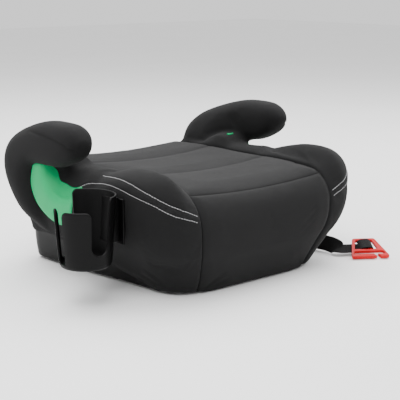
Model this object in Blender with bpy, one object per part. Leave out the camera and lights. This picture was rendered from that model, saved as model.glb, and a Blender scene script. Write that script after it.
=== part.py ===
"""Backless booster seat with padded arms, belt guides, cup holder and shoulder-belt clip.

Millimetres here, metres in Blender.  +X is the sitter's left-hand side seen from
the front, the front faces -Y, +Z is up and the floor is z = 0.  The origin is the
middle of the seat at floor level, under the centre foot pad.
"""
import math

import bmesh
import bpy
import numpy as np

MM = 0.001
GAP = 0.4
CUT_GAP = 1.6
SHELL_GAP = 3.0

# Body: the padded block that the sitter sits on.
HALF_WIDTH_MAX = 196.0
FRONT_MAX = 184.0
REAR_MAX = 189.0
CORNER = 50.0
FRONT_RADIUS = 44.0
REAR_RADIUS = 32.0
SIDE_TUCK = 36.0
SEAM_X = 128.0
RING_TOP = 0.6
RING_WALL = 0.8
COVER = 2.4
FOAM_IN = 5.6
SHELL_INSET = 26.0
SHELL_WALL = 3.0
SHELL_DECK = 118.0

# Base tray and feet.
TRAY_INSET = 5.4
TRAY_BOTTOM = 3.0
TRAY_PLATE = 3.0
TRAY_LAP = 13.0
FOOT_HEIGHT = 2.6
FOOT_LENGTH = 44.0
FOOT_WIDTH = 20.0
FOOT_X = 104.0
FOOT_Y = 104.0
POST_X = 86.0
POST_Y = 78.0
POST_RADIUS = 8.0
SCREW_RADIUS = 2.0
SCREW_HEAD = 4.2

# Cup holder on the left-hand side of the picture frame (-X).
CUP_X = -246.0
CUP_Y = -83.0
CUP_BOTTOM = 53.0
CUP_TOP = 150.0
CUP_RADIUS_LOW = 39.0
CUP_RADIUS_HIGH = 42.5
CUP_WALL = 2.6
BRACKET_WIDTH = 46.0
BRACKET_LOW = 78.0
BRACKET_HIGH = 140.0

# Shoulder-belt strap and clip.
WEB_WIDTH = 25.0
WEB_THICK = 1.5
CLIP_FRONT = (218.0, -187.0, 3.2)
CLIP_TURN = math.radians(-35.0)
CLIP_SLOPE = math.radians(17.0)
CLIP_THICK = 5.0
CLIP_WEB = 35.0
LOOP_BAR = 5.0
LOOP_RADIUS = 4.35
LOOP_START = -31.0


def through(points):
    """A smooth curve through (position, value) pairs, held level past its ends."""
    at, value = np.array(points, float).T
    slope = np.gradient(value, at)

    def curve(t):
        t = np.clip(t, at[0], at[-1])
        i = np.clip(np.searchsorted(at, t, side="right") - 1, 0, len(at) - 2)
        step = at[i + 1] - at[i]
        u = (t - at[i]) / step
        rise = value[i] * (2 * u**3 - 3 * u**2 + 1) + value[i + 1] * (3 * u**2 - 2 * u**3)
        return rise + step * (slope[i] * (u**3 - 2 * u**2 + u) + slope[i + 1] * (u**3 - u**2))

    return curve


# Side, front and rear walls lean in towards the floor: distance from the middle by height.
HALF_WIDTH = through([(0, 145), (25, 155), (45, 166), (75, 184), (105, 194), (130, 196)])
FLARE = through([(-190, 0), (-120, 2), (-20, 9), (80, 18), (190, 20)])
FRONT = through([(0, 140), (25, 156), (45, 168), (65, 179), (88, 184), (110, 184)])
REAR = through([(0, 185), (50, 189), (150, 189)])
# Height of the seat along its middle, the thigh bolster above it, and the cover's lower edge.
SEAT_LINE = through([(-190, 139), (-150, 144), (-100, 149), (0, 150), (120, 151), (190, 148)])
BOLSTER = through([(-190, 18), (-150, 25), (-100, 24), (-60, 16), (-28, 8), (6, 2), (40, 0), (190, 0)])
HEM = through([(-190, 4), (-115, 8), (-76, 15), (-40, 22), (-20, 26), (60, 36), (110, 42), (190, 45)])
SIDE_RADIUS = through([(-190, 30), (-70, 30), (20, 48), (190, 40)])

# Arm: outer and inner edge in the YZ plane, and its inner and outer X, by station from base to tip.
ARM_OUTER_Y = through(list(enumerate([150, 158, 168, 178, 177, 155, 115, 72, 35, 11, -3, -12, -17])))
ARM_OUTER_Z = through(list(enumerate([60, 88, 120, 150, 177, 201, 219, 230, 232, 230, 223, 214, 206])))
ARM_INNER_Y = through(list(enumerate([100, 98, 101, 102, 100, 93, 80, 57, 33, 12, -2, -10, -15])))
ARM_INNER_Z = through(list(enumerate([60, 88, 118, 140, 153, 161, 163, 163, 165, 173, 181, 190, 199])))
ARM_IN = through(list(enumerate([132, 132, 131, 130, 134, 144, 157, 165, 168, 169, 172, 180, 190])))
ARM_OUT = through(list(enumerate([186, 205, 218, 223, 223, 223, 223, 223, 222, 220, 217, 211, 202])))
ARM_SIDES = 12
ARM_SQUARE = 2.6


def clear_scene():
    """Remove every object that is in the file."""
    for item in list(bpy.data.objects):
        bpy.data.objects.remove(item, do_unlink=True)


def material(name, colour, roughness):
    """A Principled material with one colour."""
    made = bpy.data.materials.get(name) or bpy.data.materials.new(name)
    made.use_nodes = True
    shader = made.node_tree.nodes["Principled BSDF"]
    shader.inputs["Base Color"].default_value = (*colour, 1.0)
    shader.inputs["Roughness"].default_value = roughness
    return made


SEAT_FABRIC = ("seat_fabric", (0.075, 0.077, 0.08), 0.95)
SIDE_FABRIC = ("side_fabric", (0.028, 0.029, 0.031), 0.95)
FOAM = ("foam", (0.55, 0.55, 0.52), 0.9)
BLACK = ("black_plastic", (0.012, 0.012, 0.013), 0.42)
GREEN = ("green_plastic", (0.016, 0.45, 0.18), 0.35)
RED = ("red_plastic", (0.83, 0.03, 0.06), 0.3)
RUBBER = ("rubber", (0.02, 0.02, 0.02), 0.8)
STEEL = ("steel", (0.55, 0.55, 0.56), 0.35)
WEBBING = ("webbing", (0.02, 0.02, 0.022), 0.9)


def split_quads(points, faces):
    """Cut each four-sided face along its shorter diagonal, so that nested skins are cut alike."""
    cut = []
    for face in faces:
        if len(face) != 4:
            cut.append(face)
            continue
        a, b, c, d = face
        if np.linalg.norm(points[a] - points[c]) < np.linalg.norm(points[b] - points[d]):
            cut += [(a, b, c), (a, c, d)]
        else:
            cut += [(a, b, d), (b, c, d)]
    return cut


def solid(name, points, faces, finish):
    """Make one closed object from points in millimetres, with its faces turned outwards."""
    points = np.asarray(points, float)
    mesh = bpy.data.meshes.new(name)
    mesh.from_pydata((points * MM).tolist(), [], split_quads(points, faces))
    work = bmesh.new()
    work.from_mesh(mesh)
    bmesh.ops.recalc_face_normals(work, faces=work.faces)
    work.to_mesh(mesh)
    work.free()
    made = bpy.data.objects.new(name, mesh)
    bpy.context.collection.objects.link(made)
    mesh.materials.append(material(*finish))
    mesh.shade_smooth()
    mesh.set_sharp_from_angle(angle=math.radians(40))
    return made


def loft(name, rings, finish):
    """A closed solid carried through rings of equal length, with a fan over each end."""
    rings = np.asarray(rings, float)
    count, around = rings.shape[:2]
    points = np.vstack([rings.reshape(-1, 3), rings[0].mean(0), rings[-1].mean(0)])
    faces = []
    for i in range(around):
        j = (i + 1) % around
        for k in range(count - 1):
            faces.append((k * around + i, k * around + j, (k + 1) * around + j, (k + 1) * around + i))
        faces.append((count * around, j, i))
        last = (count - 1) * around
        faces.append((count * around + 1, last + i, last + j))
    return solid(name, points, faces, finish)


def slab(name, outer, inner, finish):
    """A closed solid between two grids of points of the same size."""
    rows, columns = outer.shape[:2]
    points = np.vstack([outer.reshape(-1, 3), inner.reshape(-1, 3)])
    under = rows * columns
    faces = []
    for r in range(rows - 1):
        for c in range(columns - 1):
            a = r * columns + c
            faces.append((a, a + 1, a + columns + 1, a + columns))
            faces.append((under + a, under + a + columns, under + a + columns + 1, under + a + 1))
    top = [(0, c) for c in range(columns)]
    right = [(r, columns - 1) for r in range(1, rows)]
    bottom = [(rows - 1, c) for c in range(columns - 2, -1, -1)]
    left = [(r, 0) for r in range(rows - 2, 0, -1)]
    edge = [r * columns + c for r, c in top + right + bottom + left]
    for i, a in enumerate(edge):
        b = edge[(i + 1) % len(edge)]
        faces.append((a, under + a, under + b, b))
    return solid(name, points, faces, finish)


def boolean(target, cutter, operation="DIFFERENCE", keep=False):
    """Apply an exact Boolean of cutter to target, and remove the cutter unless it is kept."""
    change = target.modifiers.new(cutter.name, "BOOLEAN")
    change.operation = operation
    change.solver = "EXACT"
    change.object = cutter
    graph = bpy.context.evaluated_depsgraph_get()
    result = bpy.data.meshes.new_from_object(target.evaluated_get(graph))
    target.modifiers.remove(change)
    target.data = result
    if not keep:
        bpy.data.objects.remove(cutter, do_unlink=True)


def box(name, low, high, finish=BLACK):
    """A plain block between two corners."""
    low = np.array(low, float)
    high = np.array(high, float)
    ring = [(0, 0), (1, 0), (1, 1), (0, 1)]
    rings = [[low + (high - low) * (u, v, w) for u, v in ring] for w in (0, 1)]
    return loft(name, rings, finish)


def turned(name, profile, centre, finish, sides=16):
    """A solid turned about a vertical axis from (radius, height) pairs."""
    turn = (np.arange(sides) + 0.3) * 2 * math.pi / sides
    rings = []
    for radius, height in profile:
        ring = np.stack([radius * np.cos(turn), radius * np.sin(turn), 0 * turn + height], 1)
        rings.append(ring + np.array(centre, float))
    return loft(name, rings, finish)


def seat_top(x, y):
    """Height of the seat's top: a shallow dish between two bolsters."""
    dish = 6.0 * (np.minimum(np.abs(x), SEAM_X) / SEAM_X) ** 2
    out = np.clip((np.abs(x) - 124.0) / 36.0, 0, 1)
    return SEAT_LINE(y) + dish + BOLSTER(y) * out**2 * (3 - 2 * out)


def half_at(z, y, u):
    """Half width: the wall's curve, and a flare at the rear's foot with a recess where the strap leaves."""
    fade = 1 - np.clip(z / 72.0, 0, 1)
    recess = np.exp(-(((y - STRAP_EXIT[1]) / 34.0) ** 2)) * (u > 0)
    return HALF_WIDTH(z) + FLARE(y) * fade * fade * (3 - 2 * fade) * (1 - recess)


def outline(u, v, half, front, rear, corner):
    """Point and outward normal on a rounded rectangle, from a point (u, v) of the unit square."""
    x = u * half
    y = np.where(v < 0, v * front, v * rear)
    inner_x = np.clip(x, corner - half, half - corner)
    inner_y = np.clip(y, corner - front, rear - corner)
    dx = x - inner_x
    dy = y - inner_y
    far = np.hypot(dx, dy) + 1e-9
    return inner_x + dx / far * corner, inner_y + dy / far * corner, dx / far, dy / far


def body(p, q, inset=0.0, floor=HEM, deck=None):
    """Skin of the body at an inset, from a square grid: rings of the square are rings of the body.

    Within RING_TOP lies the top, out to RING_WALL the rounded edge, and beyond it the wall,
    which ends at the height floor(y).  With deck the top is flat at that height.
    """
    ring = np.maximum(np.maximum(np.abs(p), np.abs(q)), 1e-6)
    u = p / ring
    v = q / ring
    bend = np.clip((ring - RING_TOP) / (RING_WALL - RING_TOP), 0, 1) * math.pi / 2
    down = np.clip((ring - RING_WALL) / (1 - RING_WALL), 0, 1)
    scale = np.minimum(ring / RING_TOP, 1)
    side_tuck = max(SIDE_TUCK - inset, 4.0)
    front_r = max(FRONT_RADIUS - inset, 4.0)
    rear_r = max(REAR_RADIUS - inset, 4.0)
    tuck = 1 - np.sin(bend)

    def ring_at(half, front, rear):
        corner = np.maximum(CORNER - inset - side_tuck * tuck, 2.0) * scale**3
        return outline(
            u, v,
            (half - inset - side_tuck * tuck) * scale,
            (front - inset - front_r * tuck) * scale,
            (rear - inset - rear_r * tuck) * scale,
            corner,
        )

    x, y, nx, ny = ring_at(HALF_WIDTH_MAX, FRONT_MAX, REAR_MAX)
    end_r = np.where(ny < 0, front_r, rear_r)
    radius = np.maximum(SIDE_RADIUS(y) - inset, 4.0) * nx**2 + end_r * ny**2
    top = (seat_top(x, y) if deck is None else deck + 0 * x) - (inset if deck is None else 0)
    wall = top - radius
    z = top - radius * (1 - np.cos(bend)) - down * (wall - floor(y))
    x, y, nx, ny = ring_at(half_at(z, y, u), FRONT(z), REAR(z))
    return np.stack([x, y, z], -1)


def across(q, x):
    """Square coordinate p at which the body's skin stands at a given X, beside the middle strip."""
    ring = np.maximum(np.abs(q), RING_TOP)
    bend = np.clip((ring - RING_TOP) / (RING_WALL - RING_TOP), 0, 1) * math.pi / 2
    half = HALF_WIDTH_MAX - SIDE_TUCK * (1 - np.sin(bend))
    lean = np.clip((ring - RING_WALL) / (1 - RING_WALL), 0, 1)
    return x / half * ring * (1 + 0.1 * lean)


def steps(low, high, count):
    """Evenly spaced values from low to high."""
    return np.linspace(low, high, count)


ALONG = np.concatenate([steps(-1, -0.8, 5), steps(-0.75, -0.6, 4), steps(-0.4, 0.4, 5),
                        steps(0.6, 0.8, 4), steps(0.9, 1, 2)])
FINE = np.concatenate([steps(-1, -0.82, 4), steps(-0.8, -0.6, 9), steps(-0.54, 0.54, 13),
                       steps(0.6, 0.8, 9), steps(0.82, 1, 4)])
FRONT_TURN = -0.65
REAR_TURN = 0.6667
KERF = 0.0016


def middle_grid(rows, columns=9):
    """Square grid of the middle strip, between the two long seams."""
    q = rows[:, None] + 0 * steps(-1, 1, columns)[None, :]
    return across(q, SEAM_X - GAP) * steps(-1, 1, columns)[None, :], q


def side_grid(side, rows):
    """Square grid of one side of the body, from the long seam out to the hem."""
    q = rows[:, None]
    start = across(q, SEAM_X + GAP)
    share = np.array([0, 0.13, 0.25, 0.35, 0.44, 0.53, 0.62, 0.72, 0.82, 0.91, 1.0])
    return side * (start + (1 - start) * share[None, :]), q + 0 * share[None, :]


def above_tray(y):
    """Lower edge of the foam: clear of the tray's rim."""
    return HEM(y) + TRAY_LAP + 8.0


def shell_floor(y):
    """Lower edge of the inner shell, on the tray's plate."""
    return TRAY_BOTTOM + TRAY_PLATE + GAP + 0 * y


def shell_skin(p, q, inset=SHELL_INSET, floor=shell_floor):
    """Skin of the flat-topped shell under the foam."""
    return body(p, q, inset, floor, SHELL_DECK)


def build_covers():
    """Sewn cover panels over the body."""
    top = np.concatenate([[FRONT_TURN + KERF], ALONG[np.abs(ALONG) < 0.61], [REAR_TURN - KERF]])
    front = np.concatenate([ALONG[ALONG < FRONT_TURN - 0.01], [FRONT_TURN - KERF]])
    rear = np.concatenate([[REAR_TURN + KERF], ALONG[ALONG > REAR_TURN + 0.01]])
    for name, rows, finish in (
        ("cover_seat_panel", top, SEAT_FABRIC),
        ("cover_front_panel", front, SEAT_FABRIC),
        ("cover_rear_panel", rear, SIDE_FABRIC),
    ):
        p, q = middle_grid(rows)
        slab(name, body(p, q), body(p, q, COVER), finish)
    for side, word in ((-1, "left"), (1, "right")):
        p, q = side_grid(side, ALONG)
        panel = slab("cover_side_" + word, body(p, q), body(p, q, COVER), SIDE_FABRIC)
        boolean(panel, arm("hole", side, ARM_HOLE))


def build_foam():
    """Seat pad and the two thigh bolsters, between the covers and the shell."""
    p, q = middle_grid(ALONG)
    inner = shell_skin(p, q, SHELL_INSET - SHELL_GAP, above_tray) + (0, 0, GAP)
    slab("seat_foam", body(p, q, FOAM_IN, above_tray), inner, FOAM)
    for side, word in ((-1, "left"), (1, "right")):
        p, q = side_grid(side, ALONG)
        inner = shell_skin(p, q, SHELL_INSET - SHELL_GAP, above_tray) + (0, 0, GAP)
        bolster = slab("bolster_foam_" + word, body(p, q, FOAM_IN, above_tray), inner, FOAM)
        boolean(bolster, arm("hole", side, ARM_HOLE))


def arm_ring(t, inset, around):
    """One ring of the arm at a station, drawn in by an inset: a squarish oval in the arm's section."""
    shift = inset * np.clip((t - 8) / 4, 0, 1) ** 2
    outer = np.array([ARM_OUTER_Y(t) + shift, ARM_OUTER_Z(t)])
    inner = np.array([ARM_INNER_Y(t) + shift, ARM_INNER_Z(t)])
    reach = outer - inner
    length = np.hypot(*reach)
    least = 0.4 + 0.1 * (12.0 - inset)
    half = max(length / 2 - inset, least) * reach / length
    middle = (outer + inner) / 2
    half_x = max((ARM_OUT(t) - ARM_IN(t)) / 2 - inset, least)
    turn = np.arange(around) * 2 * math.pi / around
    c = np.sign(np.cos(turn)) * np.abs(np.cos(turn)) ** (2 / ARM_SQUARE)
    s = np.sign(np.sin(turn)) * np.abs(np.sin(turn)) ** (2 / ARM_SQUARE)
    x = (ARM_OUT(t) + ARM_IN(t)) / 2 + half_x * c
    return np.stack([x, middle[0] + half[0] * s, middle[1] + half[1] * s], 1)


ARM_HOLE = 7.2
CORE_INSET = 8.2
ARM_STATIONS = np.array([0, 1, 2, 3, 3.7, 4.4, 5.2, 6, 7, 8, 9, 10, 11, 12])


def arm(name, side, inset, inner=None, finish=SIDE_FABRIC):
    """The arm at an inset, or the shell between two insets, open at its foot."""
    flip = np.array([side, 1, 1])
    rings = [arm_ring(t, inset, ARM_SIDES) * flip for t in ARM_STATIONS]
    if inner is not None:
        rings = [arm_ring(t, inner, ARM_SIDES) * flip for t in ARM_STATIONS[::-1]] + rings
    return loft(name, rings, finish)


def body_block(name, inset):
    """The whole body as one closed block, down below the floor, as a cutter."""
    p, q = np.meshgrid(FINE, FINE)
    skin = body(p, q, inset, lambda y: 0 * y - 5.0)
    flat = skin.copy()
    flat[..., 2] = -6.0
    return slab(name, skin, flat, FOAM)


def build_arms():
    """Arm cores on the shell, with a foam sleeve and a fabric sleeve over each."""
    for side, word in ((-1, "left"), (1, "right")):
        core = arm("arm_core_" + word, side, CORE_INSET, CORE_INSET + 3.0, BLACK)
        p, q = np.meshgrid(FINE, FINE)
        skin = shell_skin(p, q, SHELL_INSET - CUT_GAP, lambda y: 0 * y - 5.0) + (0, 0, GAP)
        flat = skin.copy()
        flat[..., 2] = -6.0
        boolean(core, slab("shell_block", skin, flat, FOAM))
        for name, low, high, finish in (
            ("arm_foam_", FOAM_IN, ARM_HOLE, FOAM),
            ("arm_cover_", 0.0, COVER, SIDE_FABRIC),
        ):
            sleeve = arm(name + word, side, low, high, finish)
            boolean(sleeve, body_block("body_block", -CUT_GAP))


# Belt guide: its throat at the inner and outer end, and the flange's edge, as (Y, Z) stations.
GUIDE_INNER = ((64, 176), (61, 167), (53, 161.5), (36, 160), (16, 160), (0, 161))
GUIDE_OUTER = ((73, 166), (68, 150), (54, 132), (34, 124.5), (14, 126), (0, 130))
GUIDE_FLANGE = ((101, 164), (108, 132), (94, 106), (66, 89), (36, 82), (8, 86))
GUIDE_X = ((136, 0.0), (160, 0.06), (178, 0.33), (190, 0.72), (199, 1.0))
GUIDE_LIP = ((205, 0.1), (208, 0.3), (208, 0.65), (207, 1.0))
GUIDE_THICK = 3.0


def guide_grid(count):
    """Grid of the guide's skin: along the throat, and from its inner end out over the flange."""
    along = steps(0, 5, count)
    paths = []
    for table in (GUIDE_INNER, GUIDE_OUTER, GUIDE_FLANGE):
        y, z = np.array(table, float).T
        place = np.arange(len(y))
        paths.append(np.stack([through(list(zip(place, y)))(along), through(list(zip(place, z)))(along)], 1))
    inner, outer, flange = paths
    columns = [(x, inner + (outer - inner) * w) for x, w in GUIDE_X]
    columns += [(x, outer + (flange - outer) * w) for x, w in GUIDE_LIP]
    grid = [np.column_stack([np.full(count, float(x)), yz]) for x, yz in columns]
    return np.stack(grid, 1)


def grid_normals(grid):
    """Unit normals of a grid of points."""
    normal = np.cross(np.gradient(grid, axis=0), np.gradient(grid, axis=1))
    return normal / np.linalg.norm(normal, axis=-1, keepdims=True)


def build_guides():
    """Smooth belt guides that line the gap between each arm and the seat."""
    for side, word in ((-1, "left"), (1, "right")):
        face = guide_grid(11)
        back = face - grid_normals(face) * GUIDE_THICK
        flip = np.array([side, 1, 1])
        guide = slab("belt_guide_" + word, face * flip, back * flip, GREEN)
        boolean(guide, body_block("body_block", -CUT_GAP))
        boolean(guide, arm("arm_block", side, -GAP))


def build_shell():
    """Inner shell: a flat deck with skirts, and four posts that the base is screwed to."""
    rows = np.concatenate([steps(-1, -0.8, 5), [-0.7], steps(-0.6, 0.6, 5), [0.7], steps(0.8, 1, 4)])
    p, q = np.meshgrid(rows, rows)
    shell = slab("seat_shell", shell_skin(p, q), shell_skin(p, q, SHELL_INSET + SHELL_WALL)
                 - (0, 0, SHELL_WALL) * (np.maximum(abs(p), abs(q)) < 0.99)[..., None], BLACK)
    foot = TRAY_BOTTOM + TRAY_PLATE + GAP
    bore = SCREW_RADIUS + 0.3
    for x, y in posts():
        profile = ((bore, foot + 26), (bore, foot), (POST_RADIUS, foot), (POST_RADIUS, SHELL_DECK - 1.3))
        boolean(shell, turned("post", profile, (x, y, 0), BLACK, 12), "UNION")


def posts():
    """Places of the four screw posts."""
    return [(sx * POST_X, sy * POST_Y) for sy in (-1, 1) for sx in (-1, 1)]


def tray_ring(z, inset, count=56):
    """One ring of the body's outline at a height, as points from the side of a unit square."""
    t = np.arange(count) / count * 8
    edge = np.floor(t / 2).astype(int)
    f = t - edge * 2 - 1
    u = np.choose(edge, [f, 1 + 0 * f, -f, -1 + 0 * f])
    v = np.choose(edge, [-1 + 0 * f, f, 1 + 0 * f, -f])
    half = half_at(z, v * REAR(z), u) - inset
    front = FRONT(z) - inset
    rear = REAR(z) - inset
    x, y, _, _ = outline(u, v, half, front, rear, CORNER - inset)
    return x, y


def build_tray():
    """Base tray: a pan with leaning walls and a flat plate, screwed up into the shell."""
    rings = []
    for share, inset, base in ((0, 0, 0), (0.35, 0, 0), (0.7, 0, 0), (1, 0, 0),
                               (1, 3, 0), (0.7, 3, 0), (0.35, 3, 0), (0, 3, TRAY_PLATE)):
        _, y = tray_ring(np.full(56, 20.0), 0)
        rim = HEM(y) + TRAY_LAP
        z = TRAY_BOTTOM + base + (rim - TRAY_BOTTOM - base) * share
        x, y = tray_ring(z, TRAY_INSET + inset)
        rings.append(np.stack([x, y, z], 1))
    tray = loft("base_tray", rings, BLACK)
    for x, y in posts():
        hole = turned("hole", ((SCREW_RADIUS + 0.3, 1), (SCREW_RADIUS + 0.3, 8)), (x, y, 0), BLACK, 12)
        boolean(tray, hole)
    low = (137.5, STRAP_EXIT[1] - 14.5, 12.0)
    boolean(tray, box("slot", low, (178, STRAP_EXIT[1] + 14.5, 16.0)))


def build_fasteners():
    """Foot pads and the screws of the base."""
    for x, y, word in ((-1, -1, "front_left"), (1, -1, "front_right"), (-1, 1, "rear_left"),
                       (1, 1, "rear_right"), (0, 0, "centre")):
        turn = np.arange(20) * 2 * math.pi / 20
        ring = np.stack([np.cos(turn) * FOOT_WIDTH / 2,
                         np.sin(turn) * FOOT_WIDTH / 2 + np.sign(np.sin(turn)) * (FOOT_LENGTH - FOOT_WIDTH) / 2,
                         0 * turn], 1) + (x * FOOT_X, y * FOOT_Y, 0)
        loft("foot_pad_" + word, [ring, ring + (0, 0, FOOT_HEIGHT)], RUBBER)
    for i, (x, y) in enumerate(posts()):
        profile = ((SCREW_HEAD, 0.8), (SCREW_HEAD, 2.6), (SCREW_RADIUS, 2.6), (SCREW_RADIUS, 30.0))
        turned("shell_screw_%d" % (i + 1), profile, (x, y, 0), STEEL, 12)


def build_cup_holder():
    """Cup holder: a tall back wall and two lower fingers, hung on a bracket on the body's side."""
    lean = CUP_RADIUS_HIGH - CUP_RADIUS_LOW
    profile = (
        (CUP_RADIUS_LOW - 3, CUP_BOTTOM), (CUP_RADIUS_LOW, CUP_BOTTOM + 3),
        (CUP_RADIUS_LOW + lean, CUP_TOP), (CUP_RADIUS_LOW + lean - CUP_WALL, CUP_TOP),
        (CUP_RADIUS_LOW - CUP_WALL, CUP_BOTTOM + 5), (CUP_RADIUS_LOW - CUP_WALL - 2, CUP_BOTTOM + 3),
    )
    centre = (CUP_X, CUP_Y, 0)
    cup = turned("cup_holder", profile, centre, BLACK, 48)
    boolean(cup, wedge("low_slot", 245, 286, 78.0, CUP_TOP + 5))
    boolean(cup, wedge("open_slot", 152, 187, CUP_BOTTOM + 8, CUP_TOP + 5))
    boolean(cup, wedge("rear_slot", 78, 100, 78.0, CUP_TOP + 5))
    boolean(cup, wedge("finger_tops", 77, 287, 133.0, CUP_TOP + 5))
    back = CUP_X + CUP_RADIUS_LOW - 1.0
    hook = box("hook", (back, CUP_Y - 15, BRACKET_LOW + 4), (BRACKET_FACE - GAP, CUP_Y + 15, BRACKET_HIGH + 2))
    boolean(cup, hook, "UNION")
    channel = tongue("channel", 0.5, BRACKET_LOW - 1, BRACKET_HIGH - 6)
    boolean(cup, channel)
    boolean(cup, turned("hollow", ((CUP_RADIUS_LOW - CUP_WALL, CUP_BOTTOM + 5),
                                   (CUP_RADIUS_HIGH - CUP_WALL, CUP_TOP + 0.01)), centre, BLACK, 48))


BRACKET_FACE = -(HALF_WIDTH_MAX + 4.2)


def wedge(name, start, end, low, high):
    """A sector cutter about the cup's axis, between two angles in degrees."""
    turn = np.radians(steps(start, end, 12))
    inner = np.stack([np.cos(turn) * 24, np.sin(turn) * 24], 1)
    outer = np.stack([np.cos(turn) * 60, np.sin(turn) * 60], 1)
    ring = np.vstack([inner, outer[::-1]]) + (CUP_X, CUP_Y)
    rings = [np.column_stack([ring, np.full(len(ring), z)]) for z in (low, high)]
    return loft_flat(name, rings, BLACK)


def loft_flat(name, rings, finish):
    """A prism whose ends are single faces, for outlines that a fan would not fit."""
    around = len(rings[0])
    faces = [(i, (i + 1) % around, (i + 1) % around + around, i + around) for i in range(around)]
    faces += [tuple(range(around)), tuple(range(2 * around - 1, around - 1, -1))]
    return solid(name, np.vstack(rings), faces, finish)


def tongue(name, clearance, low, high):
    """Dovetail tongue of the bracket, wider at its outer face."""
    root = BRACKET_FACE + 1.0
    face = BRACKET_FACE - 4.0 - clearance
    narrow = 7.0 + clearance
    wide = 10.0 + clearance
    ring = np.array([(root, -narrow), (face, -wide), (face, wide), (root, narrow)]) + (0, CUP_Y)
    rings = [np.column_stack([ring, np.full(4, z)]) for z in (low, high)]
    return loft_flat(name, rings, BLACK)


def build_bracket():
    """Bracket plate with its tongue, screwed through the cover into the body's side."""
    plate = box("cup_bracket", (BRACKET_FACE, CUP_Y - BRACKET_WIDTH / 2, BRACKET_LOW),
                (BRACKET_FACE + 3.2, CUP_Y + BRACKET_WIDTH / 2, BRACKET_HIGH))
    boolean(plate, tongue("tongue", 0.0, BRACKET_LOW + 4, BRACKET_HIGH - 8), "UNION")
    boolean(plate, body_block("body_block", -CUT_GAP))


# Strap route: exit slot in the tray, on edge along the side, then flat under the clip's left bar.
STRAP_EXIT = (152.0, 118.0, 14.0)


def clip_place(across_clip, up, out):
    """World point from clip coordinates: across, up its slope and out of its face."""
    flat = np.array([math.cos(CLIP_TURN), math.sin(CLIP_TURN), 0])
    rise = np.array([-math.sin(CLIP_TURN) * math.cos(CLIP_SLOPE),
                     math.cos(CLIP_TURN) * math.cos(CLIP_SLOPE), math.sin(CLIP_SLOPE)])
    face = np.cross(flat, rise)
    return np.array(CLIP_FRONT) + flat * across_clip + rise * up + face * out


def on_clip(u, w):
    """Point in the middle of the webbing on the clip."""
    return clip_place(u, CLIP_WEB, w)


def strap_route():
    """Centre line of the strap up to the clip, and the direction of its width at each point."""
    upright = np.array([0, 0, 1.0])
    rise = clip_place(0, 1, 0) - clip_place(0, 0, 0)
    return [
        (np.array([138.5, 118, 14]), np.array([0, 1.0, 0])),
        (np.array([156.0, 118, 14.2]), np.array([0.05, 1.0, 0.05])),
        (np.array([167.0, 114, 14.6]), np.array([0.5, 0.5, 0.9])),
        (np.array([174.0, 100, 14.2]), upright),
        (np.array([179.0, 75, 14.0]), upright),
        (np.array([183.0, 45, 14.0]), upright),
        (np.array([186.0, 10, 14.0]), upright),
        (np.array([189.0, -25, 14.0]), upright),
        (np.array([193.0, -60, 14.0]), upright),
        (np.array([198.5, -86, 14.0]), upright),
        (np.array([202.0, -106, 13.8]), np.array([0.1, 0.05, 1.0])),
        (np.array([203.2, -118, 13.0]), np.array([0.25, 0.15, 0.9])),
        (np.array([203.6, -127, 11.4]), np.array([0.45, 0.45, 0.75])),
        (on_clip(LOOP_START - 10, -LOOP_RADIUS), rise),
        (on_clip(LOOP_START - 5, -LOOP_RADIUS), rise),
        (on_clip(LOOP_START - GAP, -LOOP_RADIUS), rise),
    ]


def loop_route():
    """Centre line of the sewn loop round the clip's inner bar, with the same width all along."""
    rise = clip_place(0, 1, 0) - clip_place(0, 0, 0)
    bend = np.radians(steps(-90, 90, 5))
    stops = [(LOOP_START, -LOOP_RADIUS), (-20, -LOOP_RADIUS), (-8, -LOOP_RADIUS)]
    stops += [(LOOP_BAR + LOOP_RADIUS * math.cos(t), LOOP_RADIUS * math.sin(t)) for t in bend]
    stops += [(-3, LOOP_RADIUS), (-7.5, 3.6), (-10.2, 1.6), (-11, -1.0)]
    return [(on_clip(u, w), rise) for u, w in stops]


def web_rings(route, count):
    """Rings of the webbing's flat section along a smooth curve through a route."""
    place = np.array([point for point, _ in route])
    width = np.array([way / np.linalg.norm(way) for _, way in route])
    run = np.concatenate([[0], np.cumsum(np.linalg.norm(np.diff(place, axis=0), axis=1))])
    fine = steps(0, run[-1], count)
    centre = np.stack([through(list(zip(run, place[:, i])))(fine) for i in range(3)], 1)
    wide = np.stack([through(list(zip(run, width[:, i])))(fine) for i in range(3)], 1)
    ahead = np.gradient(centre, axis=0)
    ahead /= np.linalg.norm(ahead, axis=1, keepdims=True)
    wide -= ahead * (wide * ahead).sum(1, keepdims=True)
    wide /= np.linalg.norm(wide, axis=1, keepdims=True)
    thick = np.cross(ahead, wide)
    corners = ((-1, -1), (1, -1), (1, 1), (-1, 1))
    return [[c + w * WEB_WIDTH / 2 * a + t * WEB_THICK / 2 * b for a, b in corners]
            for c, w, t in zip(centre, wide, thick)]


def build_strap():
    """Shoulder-belt strap: flat webbing from its anchor in the base to its loop on the clip."""
    loft("guide_strap", web_rings(strap_route(), 44), WEBBING)
    loft("strap_loop", web_rings(loop_route(), 30), WEBBING)
    low = np.array(STRAP_EXIT) + (-18.0, -18.0, -5.0)
    box("strap_anchor", low, low + (3.0, 36.0, 14.0), STEEL)


CLIP_OUTLINE = ((-24, 0), (-28, 1.6), (-30, 6), (-18.4, 50), (-17, 53), (-14, 54), (13, 54), (16, 53),
                (17.4, 50), (30, 6), (28, 1.6), (24, 0))


def clip_prism(name, outline_points, low, high):
    """A prism standing on the clip's plane."""
    rings = [[clip_place(u, v, w) for u, v in outline_points] for w in (low, high)]
    return loft_flat(name, rings, RED)


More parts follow.
